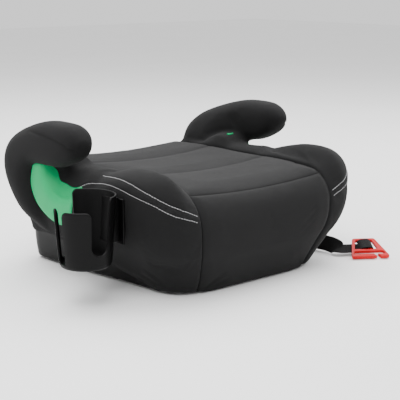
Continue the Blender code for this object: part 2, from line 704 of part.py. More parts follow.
def build_clip():
    """Clip: a sloping frame with an inner bar for the strap and an open-sided slot for the belt."""
    half = CLIP_THICK / 2
    clip = clip_prism("belt_clip", CLIP_OUTLINE, -half, half)
    bar = (LOOP_BAR - 1.7, LOOP_BAR + 1.7)
    cuts = {
        "left_window": ((-21, 22), (-14, 48), (bar[0], 48), (bar[0], 22)),
        "right_window": ((bar[1], 22), (bar[1], 48), (12, 48), (16, 22)),
        "slot": ((-25, 8), (-23, 16), (23, 16), (25, 8)),
        "mouth": ((10, -3), (16, -3), (12, 10), (6, 10)),
    }
    for name, shape in cuts.items():
        boolean(clip, clip_prism(name, shape, -2 * half, 2 * half))


def main():
    """Build every piece of the booster seat."""
    clear_scene()
    build_tray()
    build_fasteners()
    build_shell()
    build_foam()
    build_covers()
    build_arms()
    build_guides()
    build_bracket()
    build_cup_holder()
    build_strap()
    build_clip()


main()
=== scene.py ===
"""Looks of a backless child booster seat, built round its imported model.

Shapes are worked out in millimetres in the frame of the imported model: the front of the seat
faces -Y, +Z is up, and the floor is z = 0.  They become metres when a mesh is made.
"""
import logging
import math
from collections.abc import Callable, Sequence
from dataclasses import dataclass
from enum import Enum

import bmesh
import bpy
import numpy as np
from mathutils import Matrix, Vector
from mathutils.bvhtree import BVHTree


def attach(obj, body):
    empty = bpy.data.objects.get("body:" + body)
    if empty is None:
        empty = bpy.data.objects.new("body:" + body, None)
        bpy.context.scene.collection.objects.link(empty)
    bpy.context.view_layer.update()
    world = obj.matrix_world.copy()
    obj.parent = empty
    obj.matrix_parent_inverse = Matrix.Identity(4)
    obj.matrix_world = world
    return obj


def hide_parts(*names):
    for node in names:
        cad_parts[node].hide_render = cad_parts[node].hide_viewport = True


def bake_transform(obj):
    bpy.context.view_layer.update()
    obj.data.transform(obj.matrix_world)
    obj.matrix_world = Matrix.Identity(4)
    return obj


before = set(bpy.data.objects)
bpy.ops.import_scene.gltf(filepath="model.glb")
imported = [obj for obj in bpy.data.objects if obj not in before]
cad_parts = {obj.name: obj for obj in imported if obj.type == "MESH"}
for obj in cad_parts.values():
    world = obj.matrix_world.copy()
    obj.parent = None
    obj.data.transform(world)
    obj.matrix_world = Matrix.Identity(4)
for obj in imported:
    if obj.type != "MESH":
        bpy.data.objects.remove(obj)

MM = 0.001
Curve = Callable[[np.ndarray], np.ndarray]
log = logging.getLogger("booster_seat")


class Side(Enum):
    """The two sides of the seat, with the sign of their X."""

    LEFT = -1
    RIGHT = 1

    @property
    def word(self) -> str:
        """Lower-case word for names."""
        return self.name.lower()

    def mirror(self, points: np.ndarray) -> np.ndarray:
        """Points given for the right-hand side, moved to this side."""
        return np.asarray(points, float) * (self.value, 1, 1)


# ---------------------------------------------------------------- curves and grids


def through(points: Sequence[tuple[float, float]]) -> Curve:
    """Make a smooth curve through points.

    Between two points it is a cubic whose slopes are the central differences of the values.

    Args:
        points: Position and value pairs, in order of position.

    Returns:
        A function of the position, level past both ends.
    """
    at, value = np.array(points, float).T
    slope = np.gradient(value, at)

    def curve(t: np.ndarray) -> np.ndarray:
        """Value at each position."""
        t = np.clip(t, at[0], at[-1])
        i = np.clip(np.searchsorted(at, t, side="right") - 1, 0, len(at) - 2)
        step = at[i + 1] - at[i]
        u = (t - at[i]) / step
        rise = value[i] * (2 * u**3 - 3 * u**2 + 1) + value[i + 1] * (3 * u**2 - 2 * u**3)
        return rise + step * (slope[i] * (u**3 - 2 * u**2 + u) + slope[i + 1] * (u**3 - u**2))

    return curve


def stations(values: Sequence[float], first: float = 0.0) -> Curve:
    """Smooth curve through values at whole-number stations, counted from the first."""
    return through([(first + i, value) for i, value in enumerate(values)])


def smooth_line(points: np.ndarray, spacing: float) -> np.ndarray:
    """Smooth line through points in space.

    Each coordinate is a smooth curve of the distance run along the points.

    Args:
        points: Points along the line, one a row.
        spacing: Distance between the points of the result.

    Returns:
        Evenly spaced points, one a row.
    """
    points = np.asarray(points, float)
    run = np.concatenate([[0], np.cumsum(np.linalg.norm(np.diff(points, axis=0), axis=1))])
    even = np.linspace(0, run[-1], max(3, int(run[-1] / spacing) + 1))
    return np.stack([through(list(zip(run, points[:, k])))(even) for k in range(points.shape[1])], 1)


def unit(vectors: np.ndarray) -> np.ndarray:
    """Vectors of length one with the same directions."""
    return vectors / np.maximum(np.linalg.norm(vectors, axis=-1, keepdims=True), 1e-12)


def smoothstep(low: float, high: float, value: np.ndarray) -> np.ndarray:
    """Zero below low, one above high, and three t squared less two t cubed between."""
    t = np.clip((value - low) / (high - low), 0, 1)
    return t * t * (3 - 2 * t)


def bell(distance: np.ndarray, width: float) -> np.ndarray:
    """One at no distance, falling off as e to the minus square of distance over width."""
    return np.exp(-((distance / width) ** 2))


def grid_faces(rows: int, columns: int, round_columns: bool = False, start: int = 0) -> np.ndarray:
    """Four-sided faces of a grid of points numbered row by row.

    Args:
        rows: Rows of points.
        columns: Points in a row.
        round_columns: Whether the last column joins the first.
        start: Number of the grid's first point.

    Returns:
        Point numbers, four a row.
    """
    wide = columns if round_columns else columns - 1
    r, c = np.meshgrid(np.arange(rows - 1), np.arange(wide), indexing="ij")
    n = (c + 1) % columns
    quads = np.stack([r * columns + c, r * columns + n, (r + 1) * columns + n, (r + 1) * columns + c], -1)
    return quads.reshape(-1, 4) + start


def rim_of(rows: int, columns: int) -> np.ndarray:
    """Point numbers round the border of a grid, in order."""
    number = np.arange(rows * columns).reshape(rows, columns)
    return np.concatenate([number[0], number[1:, -1], number[-1, -2::-1], number[-2:0:-1, 0]])


def slab_mesh(outer: np.ndarray, inner: np.ndarray) -> tuple[np.ndarray, list]:
    """Closed skin between two grids of the same size, joined round their border.

    Args:
        outer: Grid of outer points, rows by columns by three.
        inner: Grid of inner points.

    Returns:
        Points and faces.
    """
    rows, columns = outer.shape[:2]
    top = grid_faces(rows, columns)
    under = grid_faces(rows, columns, start=rows * columns)[:, ::-1]
    edge = rim_of(rows, columns)
    ahead = np.roll(edge, -1)
    wall = np.stack([edge, edge + rows * columns, ahead + rows * columns, ahead], 1)
    points = np.vstack([outer.reshape(-1, 3), inner.reshape(-1, 3)])
    return points, np.vstack([top, under, wall]).tolist()


def loft_mesh(rings: np.ndarray) -> tuple[np.ndarray, list]:
    """Closed skin carried through rings of equal length, with a fan over each end.

    Args:
        rings: Rings by points by three.

    Returns:
        Points and faces.
    """
    count, around = rings.shape[:2]
    points = np.vstack([rings.reshape(-1, 3), rings[0].mean(0), rings[-1].mean(0)])
    here = np.arange(around)
    ahead = (here + 1) % around
    first, last = count * around, (count - 1) * around
    low = np.stack([ahead, here, np.full(around, first)], 1).tolist()
    high = np.stack([last + here, last + ahead, np.full(around, first + 1)], 1).tolist()
    return points, grid_faces(count, around, True).tolist() + low + high


def line_distance(points: np.ndarray, line: np.ndarray) -> np.ndarray:
    """Distance of every point from a line of straight stretches: the least over the stretches."""
    start, along = line[:-1], np.diff(line, axis=0)
    away = points[:, None, :] - start[None]
    share = np.clip((away * along).sum(-1) / (along * along).sum(-1), 0, 1)
    return np.sqrt(((away - share[..., None] * along) ** 2).sum(-1)).min(1)


# ---------------------------------------------------------------- pieces


def make_piece(name: str, points: np.ndarray, faces: list, sharp: float = 50.0) -> bpy.types.Object:
    """Make an object from points in millimetres, with its faces turned outwards.

    Args:
        name: Name of the piece.
        points: Points, one a row.
        faces: Point numbers of each face.
        sharp: Angle in degrees past which an edge is shaded sharp.

    Returns:
        The new object, at the origin.
    """
    mesh = bpy.data.meshes.new(name)
    mesh.from_pydata((np.asarray(points, float) * MM).tolist(), [], faces)
    work = bmesh.new()
    work.from_mesh(mesh)
    bmesh.ops.remove_doubles(work, verts=work.verts, dist=1e-6)
    bmesh.ops.recalc_face_normals(work, faces=work.faces)
    work.to_mesh(mesh)
    work.free()
    mesh.shade_smooth()
    mesh.set_sharp_from_angle(angle=math.radians(sharp))
    made = bpy.data.objects.new(name, mesh)
    bpy.context.scene.collection.objects.link(made)
    return made


def coordinates(piece: bpy.types.Object) -> np.ndarray:
    """Points of a piece's mesh in millimetres, one a row."""
    flat = np.empty(len(piece.data.vertices) * 3, np.float32)
    piece.data.vertices.foreach_get("co", flat)
    return flat.reshape(-1, 3).astype(float) / MM


def move_points(piece: bpy.types.Object, points: np.ndarray) -> None:
    """Give a piece's mesh new points in millimetres."""
    piece.data.vertices.foreach_set("co", (points * MM).astype(np.float32).ravel())
    piece.data.update()


def point_normals(piece: bpy.types.Object) -> np.ndarray:
    """Unit normal at each point of a piece's mesh."""
    flat = np.empty(len(piece.data.vertices) * 3, np.float32)
    piece.data.vertex_normals.foreach_get("vector", flat)
    return flat.reshape(-1, 3).astype(float)


def mark(piece: bpy.types.Object, name: str, values: np.ndarray) -> None:
    """Store one number for each point of a piece, for its material to read."""
    attribute = piece.data.attributes.get(name) or piece.data.attributes.new(name, "FLOAT", "POINT")
    attribute.data.foreach_set("value", np.asarray(values, np.float32))


def mark_edges(piece: bpy.types.Object, gain: float = 3.0, flat: float = 0.03) -> None:
    """Store how sharply a piece bends at each point.

    It is the mean, over the edges that meet at a point, of one less the product of the two end
    normals, less a level that counts as flat, times a gain and held below one.
    """
    ends = np.empty(len(piece.data.edges) * 2, np.int32)
    piece.data.edges.foreach_get("vertices", ends)
    ends = ends.reshape(-1, 2)
    normal = point_normals(piece)
    turn = 1 - (normal[ends[:, 0]] * normal[ends[:, 1]]).sum(1)
    total = np.zeros(len(normal))
    count = np.zeros(len(normal))
    for end in (0, 1):
        np.add.at(total, ends[:, end], turn)
        np.add.at(count, ends[:, end], 1)
    mark(piece, "edge", np.clip(gain * (total / np.maximum(count, 1) - flat), 0, 1))


def lay_cloth_map(piece: bpy.types.Object) -> None:
    """Give a piece a UV map in metres.

    Every face takes the two coordinates that it faces least, so the threads keep their size.
    """
    mesh = piece.data
    corner_point = np.empty(len(mesh.loops), np.int32)
    mesh.loops.foreach_get("vertex_index", corner_point)
    total = np.empty(len(mesh.polygons), np.int32)
    mesh.polygons.foreach_get("loop_total", total)
    facing = np.empty(len(mesh.polygons) * 3, np.float32)
    mesh.polygons.foreach_get("normal", facing)
    axis = np.repeat(np.abs(facing.reshape(-1, 3)).argmax(1), total)
    place = coordinates(piece)[corner_point] * MM
    first = np.where(axis == 0, place[:, 1], place[:, 0])
    second = np.where(axis == 2, place[:, 1], place[:, 2])
    layer = mesh.uv_layers.get("threads") or mesh.uv_layers.new(name="threads")
    layer.data.foreach_set("uv", np.stack([first, second], 1).astype(np.float32).ravel())


def applied(piece: bpy.types.Object) -> None:
    """Apply every modifier of a piece to its mesh."""
    graph = bpy.context.evaluated_depsgraph_get()
    mesh = bpy.data.meshes.new_from_object(piece.evaluated_get(graph))
    old = piece.data
    piece.modifiers.clear()
    piece.data = mesh
    bpy.data.meshes.remove(old)
    mesh.name = piece.name


def remesh(piece: bpy.types.Object, voxel: float) -> None:
    """Turn a piece into one even closed skin with faces of about the voxel's size in millimetres."""
    change = piece.modifiers.new("even", "REMESH")
    change.mode = "VOXEL"
    change.voxel_size = voxel * MM
    applied(piece)


def subdivide(piece: bpy.types.Object) -> None:
    """Apply one smooth subdivision to a piece."""
    change = piece.modifiers.new("fine", "SUBSURF")
    change.levels = 1
    change.render_levels = 1
    applied(piece)


def relax(piece: bpy.types.Object, rounds: int, weight: np.ndarray | float = 1.0) -> None:
    """Even out a skin: each point moves half-way to the mean of its neighbours, again and again.

    Args:
        piece: The piece to even out.
        rounds: How many times.
        weight: How far each point follows, from 0 to 1.
    """
    ends = np.empty(len(piece.data.edges) * 2, np.int32)
    piece.data.edges.foreach_get("vertices", ends)
    ends = ends.reshape(-1, 2)
    place = coordinates(piece)
    count = np.bincount(ends.ravel(), minlength=len(place))[:, None]
    share = 0.5 * np.broadcast_to(np.asarray(weight, float), (len(place),))[:, None]
    for _ in range(rounds):
        total = np.zeros_like(place)
        for k in range(3):
            total[:, k] = np.bincount(ends[:, 0], place[ends[:, 1], k], len(place))
            total[:, k] += np.bincount(ends[:, 1], place[ends[:, 0], k], len(place))
        place += share * (total / np.maximum(count, 1) - place)
    move_points(piece, place)


def inflate(piece: bpy.types.Object, held: np.ndarray, pressure: float, cap: float) -> None:
    """Blow a padded piece up as cloth, with some points held, and cap how far a point may go.

    Args:
        piece: Closed piece to blow up.
        held: How firmly each point is held, from 0 to 1.
        pressure: Pressure inside it.
        cap: Furthest move in millimetres.
    """
    start = coordinates(piece)
    group = piece.vertex_groups.new(name="held")
    for level in np.unique(np.round(held, 1)):
        group.add(np.flatnonzero(np.round(held, 1) == level).tolist(), float(level), "REPLACE")
    cloth = piece.modifiers.new("cloth", "CLOTH")
    cloth.settings.quality = 4
    cloth.settings.mass = 0.3
    cloth.settings.tension_stiffness = 12
    cloth.settings.compression_stiffness = 12
    cloth.settings.use_pressure = True
    cloth.settings.uniform_pressure_force = pressure
    cloth.settings.vertex_group_mass = "held"
    cloth.settings.effector_weights.gravity = 0
    cloth.point_cache.frame_end = 20
    for step in range(1, 21):
        bpy.context.scene.frame_set(step)
    applied(piece)
    bpy.context.scene.frame_set(1)
    move = coordinates(piece) - start
    length = np.linalg.norm(move, axis=1, keepdims=True)
    move_points(piece, start + move * np.minimum(1, cap / np.maximum(length, 1e-9)))
    piece.vertex_groups.clear()


# ---------------------------------------------------------------- finishes


class Graph:
    """A node tree with short calls for adding and joining nodes."""

    def __init__(self, tree: bpy.types.NodeTree) -> None:
        """Work on a node tree."""
        self.tree = tree

    def add(self, kind: str, inputs: dict | None = None, **settings: object) -> bpy.types.Node:
        """Add a node.

        Args:
            kind: The node's type name, without its "ShaderNode" beginning.
            inputs: Values or output sockets, by input name or number.
            **settings: Properties of the node.

        Returns:
            The node.
        """
        node = self.tree.nodes.new(kind if kind.startswith("Node") else "ShaderNode" + kind)
        for name, value in settings.items():
            setattr(node, name, value)
        for name, value in (inputs or {}).items():
            if isinstance(value, bpy.types.NodeSocket):
                self.tree.links.new(value, node.inputs[name])
            else:
                node.inputs[name].default_value = value
        return node

    def math(self, operation: str, *values: object) -> bpy.types.NodeSocket:
        """Result of a Math node on values or sockets."""
        node = self.add("Math", dict(enumerate(values)), operation=operation)
        return node.outputs[0]

    def mix(self, share: object, first: object, second: object) -> bpy.types.NodeSocket:
        """Colour mixed from two colours by a share."""
        node = self.add("Mix", None, data_type="RGBA")
        for number, value in ((0, share), (6, first), (7, second)):
            if isinstance(value, bpy.types.NodeSocket):
                self.tree.links.new(value, node.inputs[number])
            else:
                node.inputs[number].default_value = value
        return node.outputs[2]

    def stored(self, name: str) -> bpy.types.NodeSocket:
        """Number stored on the piece under a name, zero where there is none."""
        return self.add("Attribute", attribute_name=name).outputs["Fac"]

    def effect(self, group: bpy.types.NodeTree, vector: bpy.types.NodeSocket,
               **values: object) -> bpy.types.bpy_prop_collection:
        """Outputs of a shared effect at a place, with its other inputs by name."""
        node = self.add("Group", node_tree=group)
        self.tree.links.new(vector, node.inputs["Vector"])
        for name, value in values.items():
            if isinstance(value, bpy.types.NodeSocket):
                self.tree.links.new(value, node.inputs[name])
            else:
                node.inputs[name].default_value = value
        return node.outputs

    def finish(self, shader: bpy.types.Node, base: bpy.types.NodeSocket, rough: bpy.types.NodeSocket,
               height: bpy.types.NodeSocket, strength: float, relief: float) -> None:
        """Join colour, roughness and bump to a Principled shader.

        Args:
            shader: The shader.
            base: Colour.
            rough: Roughness.
            height: Height of the relief, from 0 to 1.
            strength: Strength of the bump.
            relief: Depth of the relief in metres.
        """
        bump = self.add("Bump", {"Height": height, "Strength": strength, "Distance": relief})
        self.tree.links.new(base, shader.inputs["Base Color"])
        self.tree.links.new(rough, shader.inputs["Roughness"])
        self.tree.links.new(bump.outputs[0], shader.inputs["Normal"])


class Effects:
    """Shared effects as node groups, each built once."""

    def __init__(self) -> None:
        """Build every group."""
        self.weave = self._weave()
        self.grain = self._grain()
        self.wear = self._wear()
        self.dust = self._dust()

    @staticmethod
    def _group(name: str, inputs: dict[str, str], outputs: Sequence[str]) -> tuple:
        """New group with named sockets, its graph, and the sockets inside it."""
        tree = bpy.data.node_groups.new(name, "ShaderNodeTree")
        for socket, kind in inputs.items():
            tree.interface.new_socket(socket, in_out="INPUT", socket_type="NodeSocket" + kind)
        for socket in outputs:
            tree.interface.new_socket(socket, in_out="OUTPUT", socket_type="NodeSocketFloat")
        graph = Graph(tree)
        return tree, graph, graph.add("NodeGroupInput").outputs, graph.add("NodeGroupOutput").inputs

    def _weave(self) -> bpy.types.NodeTree:
        """Plain weave.

        Each thread is the absolute value of a sine across it, and a checker says which of the
        two crossing threads lies on top.
        """
        tree, graph, given, out = self._group(
            "weave", {"Vector": "Vector", "Threads": "Float"}, ("Height", "Tone"))
        split = graph.add("SeparateXYZ", {0: given["Vector"]})
        across = [graph.math("MULTIPLY", split.outputs[k], given["Threads"]) for k in (0, 1)]
        waves = [graph.math("SINE", graph.math("MULTIPLY", a, math.pi)) for a in across]
        humps = [graph.math("ABSOLUTE", wave) for wave in waves]
        cell = [graph.math("FLOOR", a) for a in across]
        turn = graph.math("MODULO", graph.math("ADD", cell[0], cell[1]), 2.0)
        over = graph.math("ABSOLUTE", turn)
        warp = graph.math("MULTIPLY", humps[0], over)
        weft = graph.math("MULTIPLY", humps[1], graph.math("SUBTRACT", 1.0, over))
        height = graph.math("ADD", warp, weft)
        scale = graph.math("MULTIPLY", given["Threads"], 0.35)
        noise = graph.add("TexNoise", {"Vector": given["Vector"], "Scale": scale, "Detail": 2.0})
        tone = graph.math("MULTIPLY_ADD", height, 0.5, graph.math("MULTIPLY", noise.outputs[0], 0.5))
        tree.links.new(height, out["Height"])
        tree.links.new(tone, out["Tone"])
        return tree

    def _grain(self) -> bpy.types.NodeTree:
        """Spark-eroded mould grain: fine noise over coarser noise."""
        tree, graph, given, out = self._group(
            "grain", {"Vector": "Vector", "Scale": "Float"}, ("Height", "Cloud"))
        fine = graph.add("TexNoise", {"Vector": given["Vector"], "Scale": given["Scale"], "Detail": 3.0})
        wide = graph.math("MULTIPLY", given["Scale"], 0.02)
        cloud = graph.add("TexNoise", {"Vector": given["Vector"], "Scale": wide, "Detail": 4.0})
        tree.links.new(fine.outputs[0], out["Height"])
        tree.links.new(cloud.outputs[0], out["Cloud"])
        return tree

    def _wear(self) -> bpy.types.NodeTree:
        """Rubbed edges: the stored edge sharpness, broken up by noise."""
        tree, graph, given, out = self._group(
            "edge_wear", {"Vector": "Vector", "Edge": "Float", "Amount": "Float"}, ("Mask",))
        noise = graph.add("TexNoise", {"Vector": given["Vector"], "Scale": 160.0, "Detail": 5.0})
        broken = graph.math("MULTIPLY", given["Edge"], noise.outputs[0])
        tree.links.new(graph.math("MULTIPLY", broken, given["Amount"]), out["Mask"])
        return tree

    def _dust(self) -> bpy.types.NodeTree:
        """Lint and dust on faces that look up: the upward part of the normal, broken up by noise."""
        tree, graph, given, out = self._group("dust", {"Vector": "Vector", "Amount": "Float"}, ("Mask",))
        up = graph.add("SeparateXYZ", {0: graph.add("NewGeometry").outputs["Normal"]}).outputs[2]
        noise = graph.add("TexNoise", {"Vector": given["Vector"], "Scale": 55.0, "Detail": 6.0})
        lying = graph.math("MULTIPLY", graph.math("MAXIMUM", up, 0.0), noise.outputs[0])
        tree.links.new(graph.math("MULTIPLY", lying, given["Amount"]), out["Mask"])
        return tree


EFFECTS = Effects()


def shaded(value: Sequence[float], times: float) -> tuple[float, float, float, float]:
    """A colour made lighter or darker by a factor."""
    return (value[0] * times, value[1] * times, value[2] * times, 1.0)


def new_material(name: str) -> tuple[bpy.types.Material, Graph, bpy.types.Node]:
    """Make an empty material.

    Args:
        name: Its name.

    Returns:
        The material, its graph and its Principled shader.
    """
    made = bpy.data.materials.new(name)
    made.use_nodes = True
    return made, Graph(made.node_tree), made.node_tree.nodes["Principled BSDF"]


@dataclass(frozen=True)
class Fabric:
    """Woven cloth."""

    name: str
    slot: str
    colour: tuple[float, float, float]
    threads: float = 1000.0
    relief: float = 0.00012
    sheen: float = 0.03
    roughness: float = 0.9
    lint: float = 0.02

    def material(self) -> bpy.types.Material:
        """The cloth's material, made once."""
        known = bpy.data.materials.get("m_" + self.name)
        if known:
            return known
        made, graph, shader = new_material("m_" + self.name)
        shader.inputs["Sheen Weight"].default_value = self.sheen
        shader.inputs["Sheen Roughness"].default_value = 0.45
        shader.inputs["Specular IOR Level"].default_value = 0.15
        place = graph.add("TexCoord").outputs["Object"]
        threads = graph.add("UVMap", uv_map="threads").outputs[0]
        weave = graph.effect(EFFECTS.weave, threads, Threads=self.threads)
        cloud = graph.add("TexNoise", {"Vector": place, "Scale": 14.0, "Detail": 4.0}).outputs[0]
        base = graph.mix(weave["Tone"], shaded(self.colour, 0.72), shaded(self.colour, 1.28))
        base = graph.mix(graph.math("MULTIPLY", cloud, 0.35), base, shaded(self.colour, 0.8))
        base = graph.mix(graph.math("MULTIPLY", graph.stored("seam"), 0.72), base, shaded(self.colour, 0.22))
        holes = graph.add("TexVoronoi", {"Vector": place, "Scale": 420.0}).outputs["Distance"]
        share = graph.math("MULTIPLY", holes, 1.6)
        speckle = graph.mix(share, shaded(self.colour, 0.15), shaded(self.colour, 1.5))
        base = graph.mix(graph.stored("band"), base, speckle)
        dust = graph.effect(EFFECTS.dust, place, Amount=self.lint)
        base = graph.mix(dust["Mask"], base, (0.35, 0.35, 0.36, 1.0))
        rough = graph.math("MULTIPLY_ADD", cloud, 0.1, self.roughness - 0.05)
        graph.finish(shader, base, rough, weave["Height"], 0.6, self.relief)
        return made


@dataclass(frozen=True)
class Moulding:
    """Moulded plastic, rubber or plated steel with a fine grain and rubbed edges."""

    slot: str
    colour: tuple[float, float, float]
    roughness: float
    worn: tuple[float, float, float]
    wear: float = 0.5
    grain: float = 1800.0
    relief: float = 0.00003
    metallic: float = 0.0
    specular: float = 0.4
    dust: float = 0.008

    def material(self) -> bpy.types.Material:
        """The moulding's material, made once."""
        known = bpy.data.materials.get("m_" + self.slot)
        if known:
            return known
        made, graph, shader = new_material("m_" + self.slot)
        shader.inputs["Metallic"].default_value = self.metallic
        shader.inputs["Specular IOR Level"].default_value = self.specular
        place = graph.add("TexCoord").outputs["Object"]
        grain = graph.effect(EFFECTS.grain, place, Scale=self.grain)
        wear = graph.effect(EFFECTS.wear, place, Amount=self.wear, Edge=graph.stored("edge"))
        dust = graph.effect(EFFECTS.dust, place, Amount=self.dust)
        base = graph.mix(grain["Cloud"], shaded(self.colour, 0.88), shaded(self.colour, 1.12))
        base = graph.mix(wear["Mask"], base, (*self.worn, 1.0))
        base = graph.mix(dust["Mask"], base, (0.4, 0.4, 0.4, 1.0))
        rough = graph.math("MULTIPLY_ADD", grain["Cloud"], 0.16, self.roughness - 0.08)
        rough = graph.math("MULTIPLY_ADD", wear["Mask"], 0.2, rough)
        graph.finish(shader, base, rough, grain["Height"], 0.5, self.relief)
        return made


@dataclass(frozen=True)
class Thread:
    """Sewing thread, twisted along its run."""

    slot: str
    dark: tuple[float, float, float, float]
    light: tuple[float, float, float, float]

    def material(self) -> bpy.types.Material:
        """The thread's material, made once."""
        known = bpy.data.materials.get("m_thread")
        if known:
            return known
        made, graph, shader = new_material("m_thread")
        shader.inputs["Sheen Weight"].default_value = 0.3
        shader.inputs["Roughness"].default_value = 0.7
        place = graph.add("TexCoord").outputs["Object"]
        twist = graph.add("TexWave", {"Vector": place, "Scale": 900.0, "Distortion": 1.0})
        base = graph.mix(twist.outputs["Fac"], self.dark, self.light)
        graph.tree.links.new(base, shader.inputs["Base Color"])
        return made


Finish = Fabric | Moulding | Thread
SEAT_CLOTH = Fabric("seat_cloth", "seat_fabric", (0.0155, 0.0155, 0.0158))
# Painted shade: the front panel is the seat's own cloth, given a darker colour for the shade on its
# inward-leaning face.
SHADED_FRONT_CLOTH = Fabric("front_cloth_painted_shade", "seat_fabric", (0.0085, 0.0085, 0.0087))
SIDE_CLOTH = Fabric("side_cloth", "side_fabric", (0.0068, 0.0068, 0.007))
WEBBING = Fabric("web", "webbing", (0.006, 0.006, 0.006), threads=650.0, relief=0.0003)
BLACK = Moulding("black_plastic", (0.0012, 0.0012, 0.0013), 0.45, (0.012, 0.012, 0.012),
                 wear=0.3, specular=0.12)
GREEN = Moulding("green_plastic", (0.0, 0.33, 0.11), 0.45, (0.02, 0.5, 0.2), wear=0.1, specular=0.1)
RED = Moulding("red_plastic", (0.50, 0.0, 0.004), 0.32, (0.6, 0.01, 0.02),
               wear=0.1, relief=0.00001, specular=0.2)
RUBBER = Moulding("rubber", (0.018, 0.018, 0.018), 0.8, (0.05, 0.05, 0.05), grain=900.0)
THREAD = Thread("side_fabric", (0.24, 0.24, 0.245, 1), (0.42, 0.42, 0.43, 1))
STEEL = Moulding("steel", (0.55, 0.55, 0.56), 0.35, (0.7, 0.7, 0.7), metallic=1.0)


def finish_piece(piece: bpy.types.Object, finish: Finish, body: str, *nodes: str) -> bpy.types.Object:
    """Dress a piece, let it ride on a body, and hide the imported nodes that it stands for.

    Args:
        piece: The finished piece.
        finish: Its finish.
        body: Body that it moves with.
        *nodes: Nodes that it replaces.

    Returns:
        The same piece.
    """
    piece.data.materials.clear()
    piece.data.materials.append(finish.material())
    if isinstance(finish, Fabric):
        lay_cloth_map(piece)
    if isinstance(finish, Moulding):
        mark_edges(piece)
    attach(piece, body)
    if nodes:
        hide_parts(*nodes)
    log.info("%s: %d faces, %s", piece.name, len(piece.data.polygons), finish.slot)
    return piece


# ---------------------------------------------------------------- the padded body


